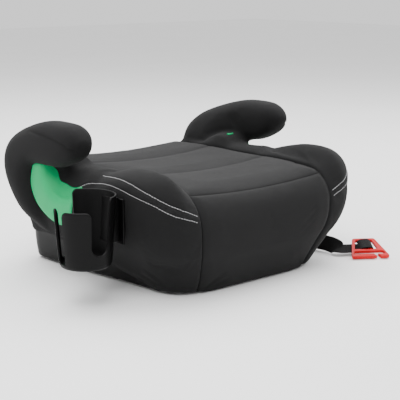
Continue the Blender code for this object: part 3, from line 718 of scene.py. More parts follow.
@dataclass
class BodyShape:
    """Outer shape of the seat's body: a rounded block whose walls lean in towards the floor."""

    half_width_max: float = 196.0
    front_max: float = 184.0
    rear_max: float = 189.0
    corner: float = 50.0
    front_radius: float = 44.0
    rear_radius: float = 32.0
    side_tuck: float = 36.0
    seam_x: float = 128.0
    ring_top: float = 0.6
    ring_wall: float = 0.8
    dish: float = 6.0
    mound: float = 6.0
    root_rise: float = 15.0
    strap_y: float = 118.0

    def __post_init__(self) -> None:
        """Set the curves that the walls and the top follow."""
        self.half_width = through([(0, 145), (25, 155), (45, 166), (75, 184), (105, 194), (130, 196)])
        self.front = through([(0, 149), (25, 161), (45, 170), (65, 179), (88, 184), (110, 184)])
        self.rear = through([(0, 185), (50, 189), (150, 189)])
        self.seat_line = through([(-190, 139), (-150, 144), (-100, 149), (0, 150), (120, 151), (190, 148)])
        self.bolster = through([(-190, 18), (-150, 25), (-100, 24), (-60, 16), (-28, 8), (6, 2), (40, 0),
                                (190, 0)])
        self.hem = through([(-190, 2), (-115, 7), (-76, 15), (-40, 22), (-20, 26), (60, 36), (110, 42),
                            (190, 45)])
        self.side_radius = through([(-190, 30), (-70, 30), (20, 48), (190, 40)])
        self.flare = through([(-190, 0), (-120, 2), (-20, 9), (80, 18), (190, 20)])

    def half_at(self, z: np.ndarray, y: np.ndarray, u: np.ndarray) -> np.ndarray:
        """Half width of the wall.

        It is the wall's curve by height, and a flare at the foot of the rear, with a recess on
        the right-hand side (u above zero) where the strap leaves.
        """
        recess = bell(y - self.strap_y, 34.0) * (u > 0)
        return self.half_width(z) + self.flare(y) * (1 - smoothstep(0, 72, z)) * (1 - recess)

    def corner_at(self, z: np.ndarray, y: np.ndarray) -> np.ndarray:
        """Corner radius at a height and a Y: tighter at the foot of the rear."""
        return self.corner - 18.0 * (1 - smoothstep(20, 90, z)) * smoothstep(-20, 60, y)

    def top(self, x: np.ndarray, y: np.ndarray) -> np.ndarray:
        """Height of the top: the line along the middle, a shallow dish, and the bolsters."""
        dish = self.dish * (np.minimum(np.abs(x), self.seam_x) / self.seam_x) ** 2
        out = smoothstep(124, 160, np.abs(x))
        mound = smoothstep(127, 140, np.abs(x)) * smoothstep(-32, -4, y) * (1 - smoothstep(72, 100, y))
        root = smoothstep(127, 143, np.abs(x)) * smoothstep(42, 64, y) * (1 - smoothstep(84, 125, y))
        return self.seat_line(y) + dish + self.bolster(y) * out + self.mound * mound + self.root_rise * root

    @staticmethod
    def outline(u: np.ndarray, v: np.ndarray, half: np.ndarray, front: np.ndarray, rear: np.ndarray,
                corner: np.ndarray) -> tuple[np.ndarray, np.ndarray, np.ndarray, np.ndarray]:
        """Point and outward normal on a rounded rectangle.

        A point of the unit square's edge is scaled to the rectangle, the nearest point of the
        rectangle drawn in by the corner radius is found, and the corner radius is set off from it.
        """
        x = u * half
        y = np.where(v < 0, v * front, v * rear)
        inner_x = np.clip(x, corner - half, half - corner)
        inner_y = np.clip(y, corner - front, rear - corner)
        dx, dy = x - inner_x, y - inner_y
        far = np.hypot(dx, dy) + 1e-9
        return inner_x + dx / far * corner, inner_y + dy / far * corner, dx / far, dy / far

    def skin(self, p: np.ndarray, q: np.ndarray, inset: float = 0.0) -> np.ndarray:
        """Skin of the body over a square grid.

        Rings of the square become rings of the body: the top within ring_top, the rounded edge
        out to ring_wall, and then the wall, down to the hem.

        Args:
            p: First coordinate, from -1 to 1 across the seat.
            q: Second coordinate, from -1 at the front to 1 at the rear.
            inset: How far the skin is drawn in.

        Returns:
            Points, with a last axis of three.
        """
        ring = np.maximum(np.maximum(np.abs(p), np.abs(q)), 1e-6)
        u, v = p / ring, q / ring
        bend = np.clip((ring - self.ring_top) / (self.ring_wall - self.ring_top), 0, 1) * math.pi / 2
        down = np.clip((ring - self.ring_wall) / (1 - self.ring_wall), 0, 1)
        scale = np.minimum(ring / self.ring_top, 1)
        side_tuck = max(self.side_tuck - inset, 4.0)
        front_r = max(self.front_radius - inset, 4.0)
        rear_r = max(self.rear_radius - inset, 4.0)
        tuck = 1 - np.sin(bend)

        def ring_at(half: np.ndarray, front: np.ndarray, rear: np.ndarray, corner: np.ndarray) -> tuple:
            """Points and normals of the ring at given wall distances."""
            corner = np.maximum(corner - inset - side_tuck * tuck, 2.0) * scale**3
            return self.outline(u, v, (half - inset - side_tuck * tuck) * scale,
                                (front - inset - front_r * tuck) * scale,
                                (rear - inset - rear_r * tuck) * scale, corner)

        x, y, nx, ny = ring_at(self.half_width_max, self.front_max, self.rear_max, self.corner)
        end_r = np.where(ny < 0, front_r, rear_r)
        radius = np.maximum(self.side_radius(y) - inset, 4.0) * nx**2 + end_r * ny**2
        top = self.top(x, y) - inset
        z = top - radius * (1 - np.cos(bend)) - down * (top - radius - self.hem(y))
        x, y, nx, ny = ring_at(self.half_at(z, y, u), self.front(z), self.rear(z), self.corner_at(z, y))
        return np.stack([x, y, z], -1)

    def across(self, q: np.ndarray, x: float) -> np.ndarray:
        """First coordinate at which the skin stands at a given X, beside the middle strip."""
        ring = np.maximum(np.abs(q), self.ring_top)
        bend = np.clip((ring - self.ring_top) / (self.ring_wall - self.ring_top), 0, 1) * math.pi / 2
        half = self.half_width_max - self.side_tuck * (1 - np.sin(bend))
        lean = np.clip((ring - self.ring_wall) / (1 - self.ring_wall), 0, 1)
        return x / half * ring * (1 + 0.1 * lean)


BODY = BodyShape()


def sheet_normals(grid: np.ndarray) -> np.ndarray:
    """Unit normals of a grid of points, from the differences along its rows and columns."""
    return unit(np.cross(np.gradient(grid, axis=0), np.gradient(grid, axis=1)))


@dataclass
class CentrePanels:
    """Seat panel, front panel and rear panel, which run between the two long seams."""

    front_turn: float = -0.65
    rear_turn: float = 0.6667
    kerf: float = 0.0010
    seam_gap: float = 0.5
    padding: float = 9.0
    columns: int = 84
    channel_y: tuple[float, float] = (-42.0, 82.0)
    channel_depth: float = 3.2
    channel_width: float = 4.2
    roll: float = 5.0
    roll_drop: float = 3.4
    crown: float = 2.0
    crown_reach: float = 34.0
    bow: float = 4.0
    seam_width: float = 1.4
    pressure: float = 2.5
    cap: float = 1.6
    fill: float = 0.7

    def _grid(self, low: float, high: float, rows: int) -> tuple[np.ndarray, np.ndarray]:
        """Square coordinates of a panel between two rows."""
        q = np.linspace(low, high, rows)[:, None] + np.zeros((1, self.columns))
        p = BODY.across(q, BODY.seam_x - self.seam_gap) * np.linspace(-1, 1, self.columns)[None, :]
        return p, q

    def _sunk(self, skin: np.ndarray, hem_row: int | None) -> np.ndarray:
        """Distance of each point from the panel's sewn edges, along the skin, in millimetres."""
        down = np.linalg.norm(np.diff(skin, axis=0), axis=-1).mean(1)
        over = np.linalg.norm(np.diff(skin, axis=1), axis=-1)
        rows = np.concatenate([[0], np.cumsum(down)])
        columns = np.concatenate([np.zeros((len(skin), 1)), np.cumsum(over, axis=1)], 1)
        ends = [rows, rows[-1] - rows]
        if hem_row is not None:
            ends[hem_row] = ends[hem_row] + 1000.0
        edge = np.minimum(*ends)[:, None]
        return np.minimum(edge, np.minimum(columns, columns[:, -1:] - columns))

    def _panel(self, name: str, low: float, high: float, rows: int, finish: Finish, nodes: Sequence[str],
               channels: Sequence[float] = (), hem_row: int | None = None) -> bpy.types.Object:
        """Make one padded panel.

        The skin sinks in a bell curve towards its sewn edges and along its channels, and
        swells a little between them.

        Args:
            name: Name of the piece.
            low: Row at its front.
            high: Row at its rear.
            rows: Rows of points.
            finish: Its finish.
            nodes: Nodes that it replaces.
            channels: Y of each sewn channel across it.
            hem_row: 0 or 1 for the end that isn't sewn but tucked in at the hem.

        Returns:
            The piece.
        """
        p, q = self._grid(low, high, rows)
        skin = BODY.skin(p, q)
        normal = sheet_normals(skin)
        normal *= np.sign((normal * (skin - (0, 0, 60.0))).sum(-1, keepdims=True))
        edge = self._sunk(skin, hem_row)
        drop = self.roll_drop * bell(edge, self.roll)
        seam = bell(edge, self.seam_width)
        lift = self.crown * smoothstep(0, self.crown_reach, edge)
        for y in channels:
            bowed = y - self.bow * (1 - (skin[..., 0] / BODY.seam_x) ** 2)
            away = np.abs(skin[..., 1] - bowed)
            fade = smoothstep(0, 12, BODY.seam_x - np.abs(skin[..., 0]))
            drop = drop + self.channel_depth * bell(away, self.channel_width) * fade
            lift = lift * (1 - 0.8 * bell(away, 22.0))
            seam = np.maximum(seam, 0.8 * bell(away, 1.7) * fade)
        outer = skin + normal * (lift - drop)[..., None]
        inner = skin - normal * (self.padding + 2.0)
        piece = make_piece(name, *slab_mesh(outer, inner))
        mark(piece, "seam", np.concatenate([seam.ravel(), np.zeros(seam.size)]))
        held = np.concatenate([np.maximum(seam, edge < 3).ravel(), np.ones(seam.size)])
        inflate(piece, held, self.pressure, self.cap)
        finish_piece(piece, finish, "seat", *nodes)
        return piece

    def build(self) -> None:
        """Build the three panels."""
        self._panel("seat_panel", self.front_turn + self.kerf, self.rear_turn - self.kerf, 110,
                    SEAT_CLOTH, ("cover_seat_panel", "seat_foam"), self.channel_y)
        # The front panel takes the darker copy of the seat cloth, which is painted shade.
        self._panel("front_panel", -1.0, self.front_turn - self.kerf, 70, SHADED_FRONT_CLOTH,
                    ("cover_front_panel",), hem_row=0)
        self._panel("rear_panel", self.rear_turn + self.kerf, 1.0, 44, SIDE_CLOTH,
                    ("cover_rear_panel",), hem_row=1)


@dataclass
class ArmShape:
    """Outline of the padded arm, by station from its foot to its tip."""

    square: float = 2.6

    def __post_init__(self) -> None:
        """Set the curves of the outer and inner edge in the YZ plane, and of both faces in X."""
        self.outer_y = stations([146, 150, 158, 168, 178, 177, 155, 115, 72, 35, 11, -3, -12, -17], -1)
        self.outer_z = stations([34, 60, 88, 120, 150, 177, 201, 219, 230, 232, 230, 223, 214, 206], -1)
        self.inner_y = stations([104, 100, 98, 101, 102, 100, 93, 80, 57, 33, 12, -2, -10, -15], -1)
        self.inner_z = stations([34, 60, 88, 118, 140, 153, 161, 163, 163, 165, 173, 181, 190, 199], -1)
        self.x_in = stations([130, 132, 132, 131, 130, 134, 144, 157, 165, 168, 169, 172, 180, 190], -1)
        self.x_out = stations([154, 180, 205, 218, 223, 223, 223, 223, 223, 222, 220, 217, 211, 202], -1)

    def rings(self, low: float, high: float, count: int, around: int, inset: float = 0.0) -> np.ndarray:
        """Rings of the arm, each a squarish oval between its two edges and its two faces.

        Args:
            low: First station.
            high: Last station.
            count: How many rings.
            around: Points in a ring.
            inset: How far the arm is drawn in.

        Returns:
            Rings by points by three.
        """
        t = np.linspace(low, high, count)[:, None]
        turn = np.arange(around)[None, :] * 2 * math.pi / around
        shift = inset * np.clip((t - 8) / 4, 0, 1) ** 2
        outer = np.stack([self.outer_y(t) + shift, self.outer_z(t)], -1)
        inner = np.stack([self.inner_y(t) + shift, self.inner_z(t)], -1)
        reach = outer - inner
        length = np.linalg.norm(reach, axis=-1, keepdims=True)
        half = np.maximum(length / 2 - inset, 1.0) * reach / length
        half_x = np.maximum((self.x_out(t) - self.x_in(t)) / 2 - inset, 1.0)
        c = np.sign(np.cos(turn)) * np.abs(np.cos(turn)) ** (2 / self.square)
        s = np.sign(np.sin(turn)) * np.abs(np.sin(turn)) ** (2 / self.square)
        yz = (outer + inner) / 2 + half * s[..., None]
        x = (self.x_out(t) + self.x_in(t)) / 2 + half_x * c
        return np.concatenate([x[..., None], yz], -1)


ARM = ArmShape()


@dataclass
class ArmCore:
    """Hollow core deep inside an arm."""

    side: Side
    inset: float = 13.0
    low: float = 0.6
    high: float = 10.2

    def build(self) -> bpy.types.Object:
        """Build the core as a loft drawn in from the arm's surface."""
        rings = self.side.mirror(ARM.rings(self.low, self.high, 40, 20, self.inset))
        piece = make_piece("arm_core_shell_" + self.side.word, *loft_mesh(rings))
        return finish_piece(piece, BLACK, "seat", "arm_core_" + self.side.word)


@dataclass
class SidePadding:
    """One side of the seat: thigh bolster, side wall and arm under one sewn cover."""

    side: Side
    wall: float = 12.0
    shrink: float = 1.2
    voxel: float = 4.2
    seam_gap: float = 0.6
    cap: float = 2.2
    pressure: float = 4.0
    fill: float = 0.6
    line_step: float = 4.0
    seam_depth: float = 1.6
    stitch_depth: float = 0.9

    # Seams on the arm's outer and inner face, given for the right-hand side.
    OUTER_SEAM = ((223, 160, 200), (222, 135, 214), (220, 110, 216), (218, 89, 213), (220, 63, 211),
                  (220, 40, 208), (219, 19, 204.7), (217, 5, 200.6), (213.5, -4, 195.7), (204, -14, 193))
    INNER_SEAM = ((160, 231, 145), (150, 202, 157), (152, 173, 182), (162, 138, 204), (166, 85, 222),
                  (168, 30, 228), (169, -5, 230), (170, -24, 225), (171, -30, 214), (169, -23, 202),
                  (168, -2, 191), (167, 29, 185), (164, 55, 179))
    # Topstitch lines on the bolster, given for the right-hand side.
    UPPER_STITCH = ((132, -181, 120.5), (138, -181.5, 123), (147.5, -181, 126.8), (159.8, -179.4, 131.7),
                    (170.7, -174.2, 137.1), (177.9, -168.7, 141.2), (184.8, -160.8, 146.2),
                    (190.4, -149.3, 151.9), (193.1, -134, 156.5), (192, -111.5, 161.1),
                    (188.3, -82.7, 163.9), (181.8, -54, 162.4), (173.7, -24.7, 160.1))
    LOWER_STITCH = ((134, -182.4, 111.5), (143.5, -182.4, 115), (157.8, -181, 119.6), (169.3, -176.5, 124),
                    (180.7, -167.9, 130.9), (189.3, -156, 138.2), (194.3, -139.4, 142.9),
                    (195, -112.6, 147.5), (194.2, -90.3, 151), (190.5, -58.5, 152.5), (187, -28, 150),
                    (188, -7.3, 146), (189.5, 4, 141.5), (190, 14, 135))

    def _block(self) -> tuple[np.ndarray, list]:
        """The side of the body as a thick closed shell."""
        stretches = ((-1, -0.8, 26), (-0.8, -0.6, 16), (-0.6, 0.6, 60), (0.6, 0.8, 12), (0.8, 1, 24))
        rows = [np.linspace(low, high, count)[:-1] for low, high, count in stretches]
        q = np.concatenate([*rows, [1.0]])[:, None]
        start = BODY.across(q, BODY.seam_x + self.seam_gap + self.shrink)
        share = np.linspace(0, 1, 72)[None, :]
        p = start + (1 - start) * share
        q = q + 0 * share
        return slab_mesh(BODY.skin(p, q, self.shrink), BODY.skin(p, q, self.wall))

    def build(self) -> bpy.types.Object:
        """Build the padding: union, remesh, smooth the arm's root, inflate, then sew."""
        block, block_faces = self._block()
        arm, arm_faces = loft_mesh(ARM.rings(-1, 12, 90, 44, self.shrink))
        points = np.vstack([block, arm])
        faces = block_faces + [[i + len(block) for i in face] for face in arm_faces]
        name = "side_padding_" + self.side.word
        piece = make_piece(name, points, faces)
        remesh(piece, self.voxel)
        place = coordinates(piece)
        root = bell(place[:, 2] - 160, 34) * smoothstep(-30, 20, place[:, 1])
        relax(piece, 3, 0.7)
        relax(piece, 10, np.clip(root, 0, 1) * (place[:, 0] > 140))
        place = coordinates(piece)
        held = np.clip((BODY.seam_x + 4.0 - place[:, 0]) / 3.0, 0, 1) * (place[:, 2] < 165)
        held = np.maximum(held, place[:, 2] < BODY.hem(place[:, 1]) + 4.0)
        inflate(piece, held, self.pressure, self.cap)
        subdivide(piece)
        self._sew(piece)
        move_points(piece, self.side.mirror(coordinates(piece)))
        if self.side is Side.LEFT:
            piece.data.flip_normals()
        piece.data.shade_smooth()
        word = self.side.word
        finish_piece(piece, SIDE_CLOTH, "seat", "cover_side_" + word, "arm_cover_" + word,
                     "arm_foam_" + word, "bolster_foam_" + word)
        return piece

    def stitch_lines(self) -> list[np.ndarray]:
        """Both topstitch lines on this side, in millimetres."""
        return [self.side.mirror(smooth_line(line, self.line_step))
                for line in (self.UPPER_STITCH, self.LOWER_STITCH)]

    def _sew(self, piece: bpy.types.Object) -> None:
        """Draw the skin in along its seams in a bell curve, and mark them for the material."""
        place = coordinates(piece)
        normal = point_normals(piece)
        seam = np.zeros(len(place))
        upper, lower = (line_distance(place, smooth_line(line, self.line_step))
                        for line in (self.UPPER_STITCH, self.LOWER_STITCH))
        band = 1 - smoothstep(11.5, 14.0, upper + lower)
        for line, facing in ((self.OUTER_SEAM, 1), (self.INNER_SEAM, -1)):
            away = line_distance(place, smooth_line(line, self.line_step))
            side = smoothstep(-0.2, 0.2, normal[:, 0] * facing)
            place -= normal * (self.seam_depth * side * bell(away, 2.6))[:, None]
            seam = np.maximum(seam, 0.75 * side * bell(away, 1.7))
        place -= normal * (self.stitch_depth * bell(np.minimum(upper, lower), 2.2))[:, None]
        move_points(piece, place)
        mark(piece, "seam", seam)
        mark(piece, "band", band)


@dataclass
class Topstitch:
    """A run of sewing thread laid on a piece."""

    pitch: float = 4.2
    stitch: float = 3.5
    thread: float = 0.45
    proud: float = 0.2

    def lay(self, name: str, lines: Sequence[np.ndarray], cloth: bpy.types.Object) -> bpy.types.Object:
        """Lay stitches along lines.

        Each stitch is a short rod with tapered ends that dip into the cloth.  Its middle is
        the point of the cloth nearest to the line.

        Args:
            name: Name of the piece.
            lines: Lines in millimetres.
            cloth: Piece that they are sewn into.

        Returns:
            All the stitches as one piece.
        """
        tree = BVHTree.FromPolygons([v.co / MM for v in cloth.data.vertices],
                                    [list(f.vertices) for f in cloth.data.polygons])
        share = np.array([-1.0, -0.8, -0.35, 0.35, 0.8, 1.0])
        thick = np.array([0.25, 0.8, 1.0, 1.0, 0.8, 0.25])
        dip = np.array([-1.0, -0.25, 0.0, 0.0, -0.25, -1.0]) * self.thread
        turn = np.arange(6) * math.pi / 3
        points, faces = [], []
        for line in lines:
            even = smooth_line(line, self.pitch / 4)
            found = [tree.find_nearest(Vector(p))[:2] for p in even]
            on = np.array([place for place, _ in found])
            normal = np.array([way for _, way in found])
            middle = on[2::4]
            up = unit(normal[2::4])
            count = min(len(middle), len(on[4::4]))
            along = unit(on[4::4][:count] - on[0::4][:count])
            middle, up = middle[:count], up[:count]
            side = unit(np.cross(up, along))
            centre = (middle[:, None] + along[:, None] * (share * self.stitch / 2)[None, :, None]
                      + up[:, None] * (self.proud + dip)[None, :, None])
            ring = (side[:, None, None] * (np.cos(turn) * self.thread)[None, None, :, None]
                    + up[:, None, None] * (np.sin(turn) * self.thread)[None, None, :, None])
            rods = centre[:, :, None] + ring * thick[None, :, None, None]
            for rod in rods:
                own, own_faces = loft_mesh(rod)
                start = sum(len(p) for p in points)
                points.append(own)
                faces += [[i + start for i in face] for face in own_faces]
        return finish_piece(make_piece(name, np.vstack(points), faces), THREAD, "seat")


# ---------------------------------------------------------------- moulded pieces


@dataclass
class BeltGuide:
    """Green belt guide: a smooth throat under the arm, with a flange over the side."""

    side: Side
    thick: float = 3.0
    rows: int = 60
    columns: int = 56

    INNER = ((64, 176), (61, 167), (53, 161.5), (36, 160), (16, 160), (0, 161))
    OUTER = ((73, 166), (68, 150), (54, 132), (34, 124.5), (14, 126), (0, 130))
    FLANGE = ((101, 164), (108, 132), (94, 106), (66, 89), (36, 82), (8, 86))
    # X, share of the way from the throat's inner to its outer end, and from there over the flange.
    SECTION = ((148, 0, 0), (162, 0.06, 0), (178, 0.33, 0), (190, 0.72, 0), (199, 1, 0), (205, 1, 0.1),
               (208, 1, 0.3), (208, 1, 0.65), (207, 1, 1))

    def build(self) -> bpy.types.Object:
        """Build the guide as a thick shell over a grid: along the throat, and outwards."""
        along = np.linspace(0, 5, self.rows)
        edges = [np.stack([stations([p[k] for p in table])(along) for k in (0, 1)], 1)
                 for table in (self.INNER, self.OUTER, self.FLANGE)]
        place = np.linspace(0, len(self.SECTION) - 1, self.columns)
        x, first, second = (stations([row[k] for row in self.SECTION])(place) for k in range(3))
        yz = (edges[0][:, None] + (edges[1] - edges[0])[:, None] * first[None, :, None]
              + (edges[2] - edges[1])[:, None] * second[None, :, None])
        face = np.concatenate([np.broadcast_to(x[None, :, None], (*yz.shape[:2], 1)), yz], -1)
        rows = np.minimum(np.arange(self.rows), np.arange(self.rows)[::-1])[:, None]
        columns = np.arange(self.columns)[::-1][None, :]
        rim = np.minimum(rows, columns) * 1.6
        normal = sheet_normals(face)
        rounded = self.thick * 0.45 * bell(rim, 1.5)
        outer = face - normal * rounded[..., None]
        inner = face - normal * (self.thick - 0.4 * rounded)[..., None]
        points, faces = slab_mesh(self.side.mirror(outer), self.side.mirror(inner))
        piece = make_piece("belt_guide_shell_" + self.side.word, points, faces, 60)
        return finish_piece(piece, GREEN, "seat", "belt_guide_" + self.side.word)


@dataclass
class Base:
    """Base tray and its foot pads."""

    inset: float = 5.4
    bottom: float = 3.0
    lap: float = 13.0
    wall: float = 3.0
    around: int = 240
    foot_height: float = 2.6
    foot_length: float = 44.0
    foot_width: float = 20.0
    foot_place: float = 104.0

    def _ring(self, z: np.ndarray, inset: float) -> tuple[np.ndarray, np.ndarray]:
        """Ring of the body's outline, its points spread round the edge of a unit square."""
        t = np.arange(self.around) / self.around * 8
        edge = np.floor(t / 2).astype(int)
        f = t - edge * 2 - 1
        one = np.ones_like(f)
        u = np.choose(edge, [f, one, -f, -one])
        v = np.choose(edge, [-one, f, one, -f])
        y = v * BODY.rear(z)
        x, y, _, _ = BODY.outline(u, v, BODY.half_at(z, y, u) - inset, BODY.front(z) - inset,
                                  BODY.rear(z) - inset, BODY.corner_at(z, y) - inset)
        return x, y

    def tray(self) -> bpy.types.Object:
        """Pan whose wall follows the body, rounded where it meets the plate and round its rim."""
        rings = []
        _, y = self._ring(np.full(self.around, 20.0), 0)
        rim = BODY.hem(y) + self.lap
        turn = np.linspace(0, math.pi / 2, 7)
        foot = 4.0
        path = [(foot * (1 - math.sin(t)), foot * (1 - math.cos(t)), 0.0) for t in turn]
        path += [(0, 0, s) for s in np.linspace(0.04, 1, 14)]
        path += [(self.wall, 0, 1)]
        path += [(self.wall, 0, s) for s in np.linspace(0.9, 0.1, 6)]
        for inset, lift, share in path:
            low = self.bottom + lift
            z = low + (rim - low) * share
            x, y_ring = self._ring(z, self.inset + inset)
            rings.append(np.stack([x, y_ring, z], 1))
        x, y_ring = self._ring(np.full(self.around, self.bottom + 3.0), self.inset + self.wall)
        rings.append(np.stack([x, y_ring, np.full(self.around, self.bottom + 3.0)], 1))
        piece = make_piece("base_tray_shell", *loft_mesh(np.array(rings)), 35)
        return finish_piece(piece, BLACK, "seat", "base_tray")

    def feet(self) -> None:
        """Rounded anti-slip pads."""
        places = {"front_left": (-1, -1), "front_right": (1, -1), "rear_left": (-1, 1),
                  "rear_right": (1, 1), "centre": (0, 0)}
        turn = np.arange(48) * 2 * math.pi / 48
        ends = np.sign(np.sin(turn)) * (self.foot_length - self.foot_width) / 2
        profile = ((0.82, 0.0), (0.92, 0.15), (0.985, 0.6), (1.0, 1.2), (1.0, self.foot_height))
        for word, (sx, sy) in places.items():
            rings = [np.stack([np.cos(turn) * self.foot_width / 2 * share,
                               np.sin(turn) * self.foot_width / 2 * share + ends,
                               np.full(48, height)], 1) for share, height in profile]
            centre = np.array([sx * self.foot_place, sy * self.foot_place, 0.0])
            piece = make_piece("foot_" + word, *loft_mesh(np.array(rings) + centre))
            finish_piece(piece, RUBBER, "seat", "foot_pad_" + word)

    def build(self) -> None:
        """Build the tray and the feet."""
        self.tray()
        self.feet()


@dataclass
class CupHolder:
    """Cup holder with a tall back wall and two lower fingers, on a bracket on the seat's side."""

    x: float = -246.0
    y: float = -83.0
    bottom: float = 53.0
    top: float = 150.0
    finger: float = 133.0
    radius_low: float = 35.0
    radius_high: float = 42.5
    wall: float = 2.6
    bracket_face: float = -200.2
    bracket_low: float = 78.0
    bracket_high: float = 140.0

    # Stretches by angle in degrees about the holder's axis: start, end, height, corner radius.
    WALLS = ((-74.0, 78.0, 150.0, 7.0), (124.0, 152.0, 131.0, 10.0), (187.0, 247.0, 133.0, 8.0))
    SLOTS = ((78.0, 124.0, 62.0, 7.0), (152.0, 187.0, 60.0, 5.0), (247.0, 286.0, 74.0, 12.5))

    def _top(self, angle: np.ndarray, radius: float) -> np.ndarray:
        """Height of the rim by angle: walls with rounded shoulders, slots with round bottoms."""
        height = np.zeros_like(angle)
        for table, sign in ((self.WALLS, -1), (self.SLOTS, 1)):
            for start, end, level, corner in table:
                inside = (angle >= start) & (angle <= end)
                edge = np.radians(np.minimum(angle - start, end - angle)) * radius
                bend = min(corner, math.radians(end - start) * radius / 2)
                near = np.clip(bend - edge, 0, bend)
                step = bend - np.sqrt(np.maximum(bend**2 - near**2, 0))
                height = np.where(inside, level + sign * step, height)
        return height

    def cup(self) -> bpy.types.Object:
        """The holder: a turned wall whose rim follows the height by angle, with a flat floor."""
        cuts = sorted({angle for table in (self.WALLS, self.SLOTS) for row in table for angle in row[:2]})
        pieces = []
        for start, end in zip(cuts[:-1], cuts[1:]):
            count = max(14, int((end - start) * 0.75))
            t = np.linspace(0, math.pi, count)
            pieces.append(start + 0.12 + (end - start - 0.24) * (1 - np.cos(t)) / 2)
        angle = np.concatenate(pieces)
        turn = np.radians(angle)
        top = self._top(angle, self.radius_high)
        rim = self.wall / 2
        rings = []

        def ring(radius: np.ndarray, height: np.ndarray) -> None:
            """Add one ring at radii and heights by angle."""
            rings.append(np.stack([self.x + radius * np.cos(turn), self.y + radius * np.sin(turn),
                                   height + 0 * turn], 1))

        foot = 6.0
        for t in np.linspace(0, math.pi / 2, 7):
            ring(np.full_like(turn, self.radius_low - foot * (1 - math.sin(t))),
                 np.full_like(turn, self.bottom + foot * (1 - math.cos(t))))
        low = self.bottom + foot
        for share in np.linspace(0.05, 1, 18):
            height = low + (top - rim - low) * share
            ring(self._lean(height), height)
        for t in np.linspace(0, math.pi, 7)[1:]:
            ring(self._lean(top) - rim + rim * math.cos(t), top - rim + rim * math.sin(t))
        floor = self.bottom + 3.0
        for share in np.linspace(0.95, 0, 18):
            height = floor + 4 + (top - rim - floor - 4) * share
            ring(self._lean(height) - self.wall, height)
        for t in np.linspace(0, math.pi / 2, 5)[1:]:
            ring(np.full_like(turn, self.radius_low - self.wall - 4 * (1 - math.cos(t))),
                 np.full_like(turn, floor + 4 * (1 - math.sin(t))))
        piece = make_piece("cup_holder_shell", *loft_mesh(np.array(rings)), 32)
        return finish_piece(piece, BLACK, "cup_holder", "cup_holder")

    def _lean(self, height: np.ndarray | float) -> np.ndarray | float:
        """Outer radius of the holder at a height."""
        share = (height - self.bottom) / (self.top - self.bottom)
        return self.radius_low + (self.radius_high - self.radius_low) * share

    @staticmethod
    def _prism(name: str, rings: Sequence[np.ndarray], low: float, high: float,
               bevel: float) -> bpy.types.Object:
        """Upright prism between two outlines in X and Y, with its edges rounded.

        Args:
            name: Name of the piece.
            rings: Outlines at its lower and upper end.
            low: Height of the lower end.
            high: Height of the upper end.
            bevel: Radius of its edges.

        Returns:
            The piece.
        """
        count = len(rings[0])
        ends = zip(rings, (low, high))
        points = np.vstack([np.column_stack([ring, np.full(count, z)]) for ring, z in ends])
        faces = [[i, (i + 1) % count, (i + 1) % count + count, i + count] for i in range(count)]
        faces += [list(range(count)), list(range(2 * count - 1, count - 1, -1))]
        piece = make_piece(name, points, faces, 30)
        change = piece.modifiers.new("edges", "BEVEL")
        change.width = bevel * MM
        change.segments = 3
        change.limit_method = "ANGLE"
        applied(piece)
        piece.data.shade_smooth()
        piece.data.set_sharp_from_angle(angle=math.radians(35))
        return piece

    def hook(self) -> bpy.types.Object:
        """Hook on the back of the holder, with a dovetail channel."""
        face = self.bracket_face - 0.4
        root = self.bracket_face - 4.6
        low, high = self.bracket_low + 4, self.bracket_high + 2
        rings = []
        for height in (low, high):
            back = self.x + self._lean(height) - 4.5
            rings.append(np.array([(back, -15), (face, -15), (face, -8.2), (root, -10.6), (root, 10.6),
                                   (face, 8.2), (face, 15), (back, 15)]) + (0, self.y))
        piece = self._prism("cup_hook", rings, low, high, 0.9)
        return finish_piece(piece, BLACK, "cup_holder")

    def bracket(self) -> None:
        """Bracket plate with its dovetail tongue."""
        face = self.bracket_face
        plate = [(face, -23), (face + 3.2, -23), (face + 3.2, 23), (face, 23)]
        piece = self._prism("cup_bracket_plate", [np.array(plate) + (0, self.y)] * 2, self.bracket_low,
                            self.bracket_high, 1.0)
        finish_piece(piece, BLACK, "seat", "cup_bracket")
        tongue = [(face + 1.0, -7), (face - 4.0, -10), (face - 4.0, 10), (face + 1.0, 7)]
        piece = self._prism("cup_bracket_tongue", [np.array(tongue) + (0, self.y)] * 2, self.bracket_low + 4,
                            self.bracket_high - 8, 0.5)
        finish_piece(piece, BLACK, "seat")

    def build(self) -> None:
        """Build the holder, its hook and its bracket."""
        self.cup()
        self.hook()
        self.bracket()


# ---------------------------------------------------------------- strap and clip


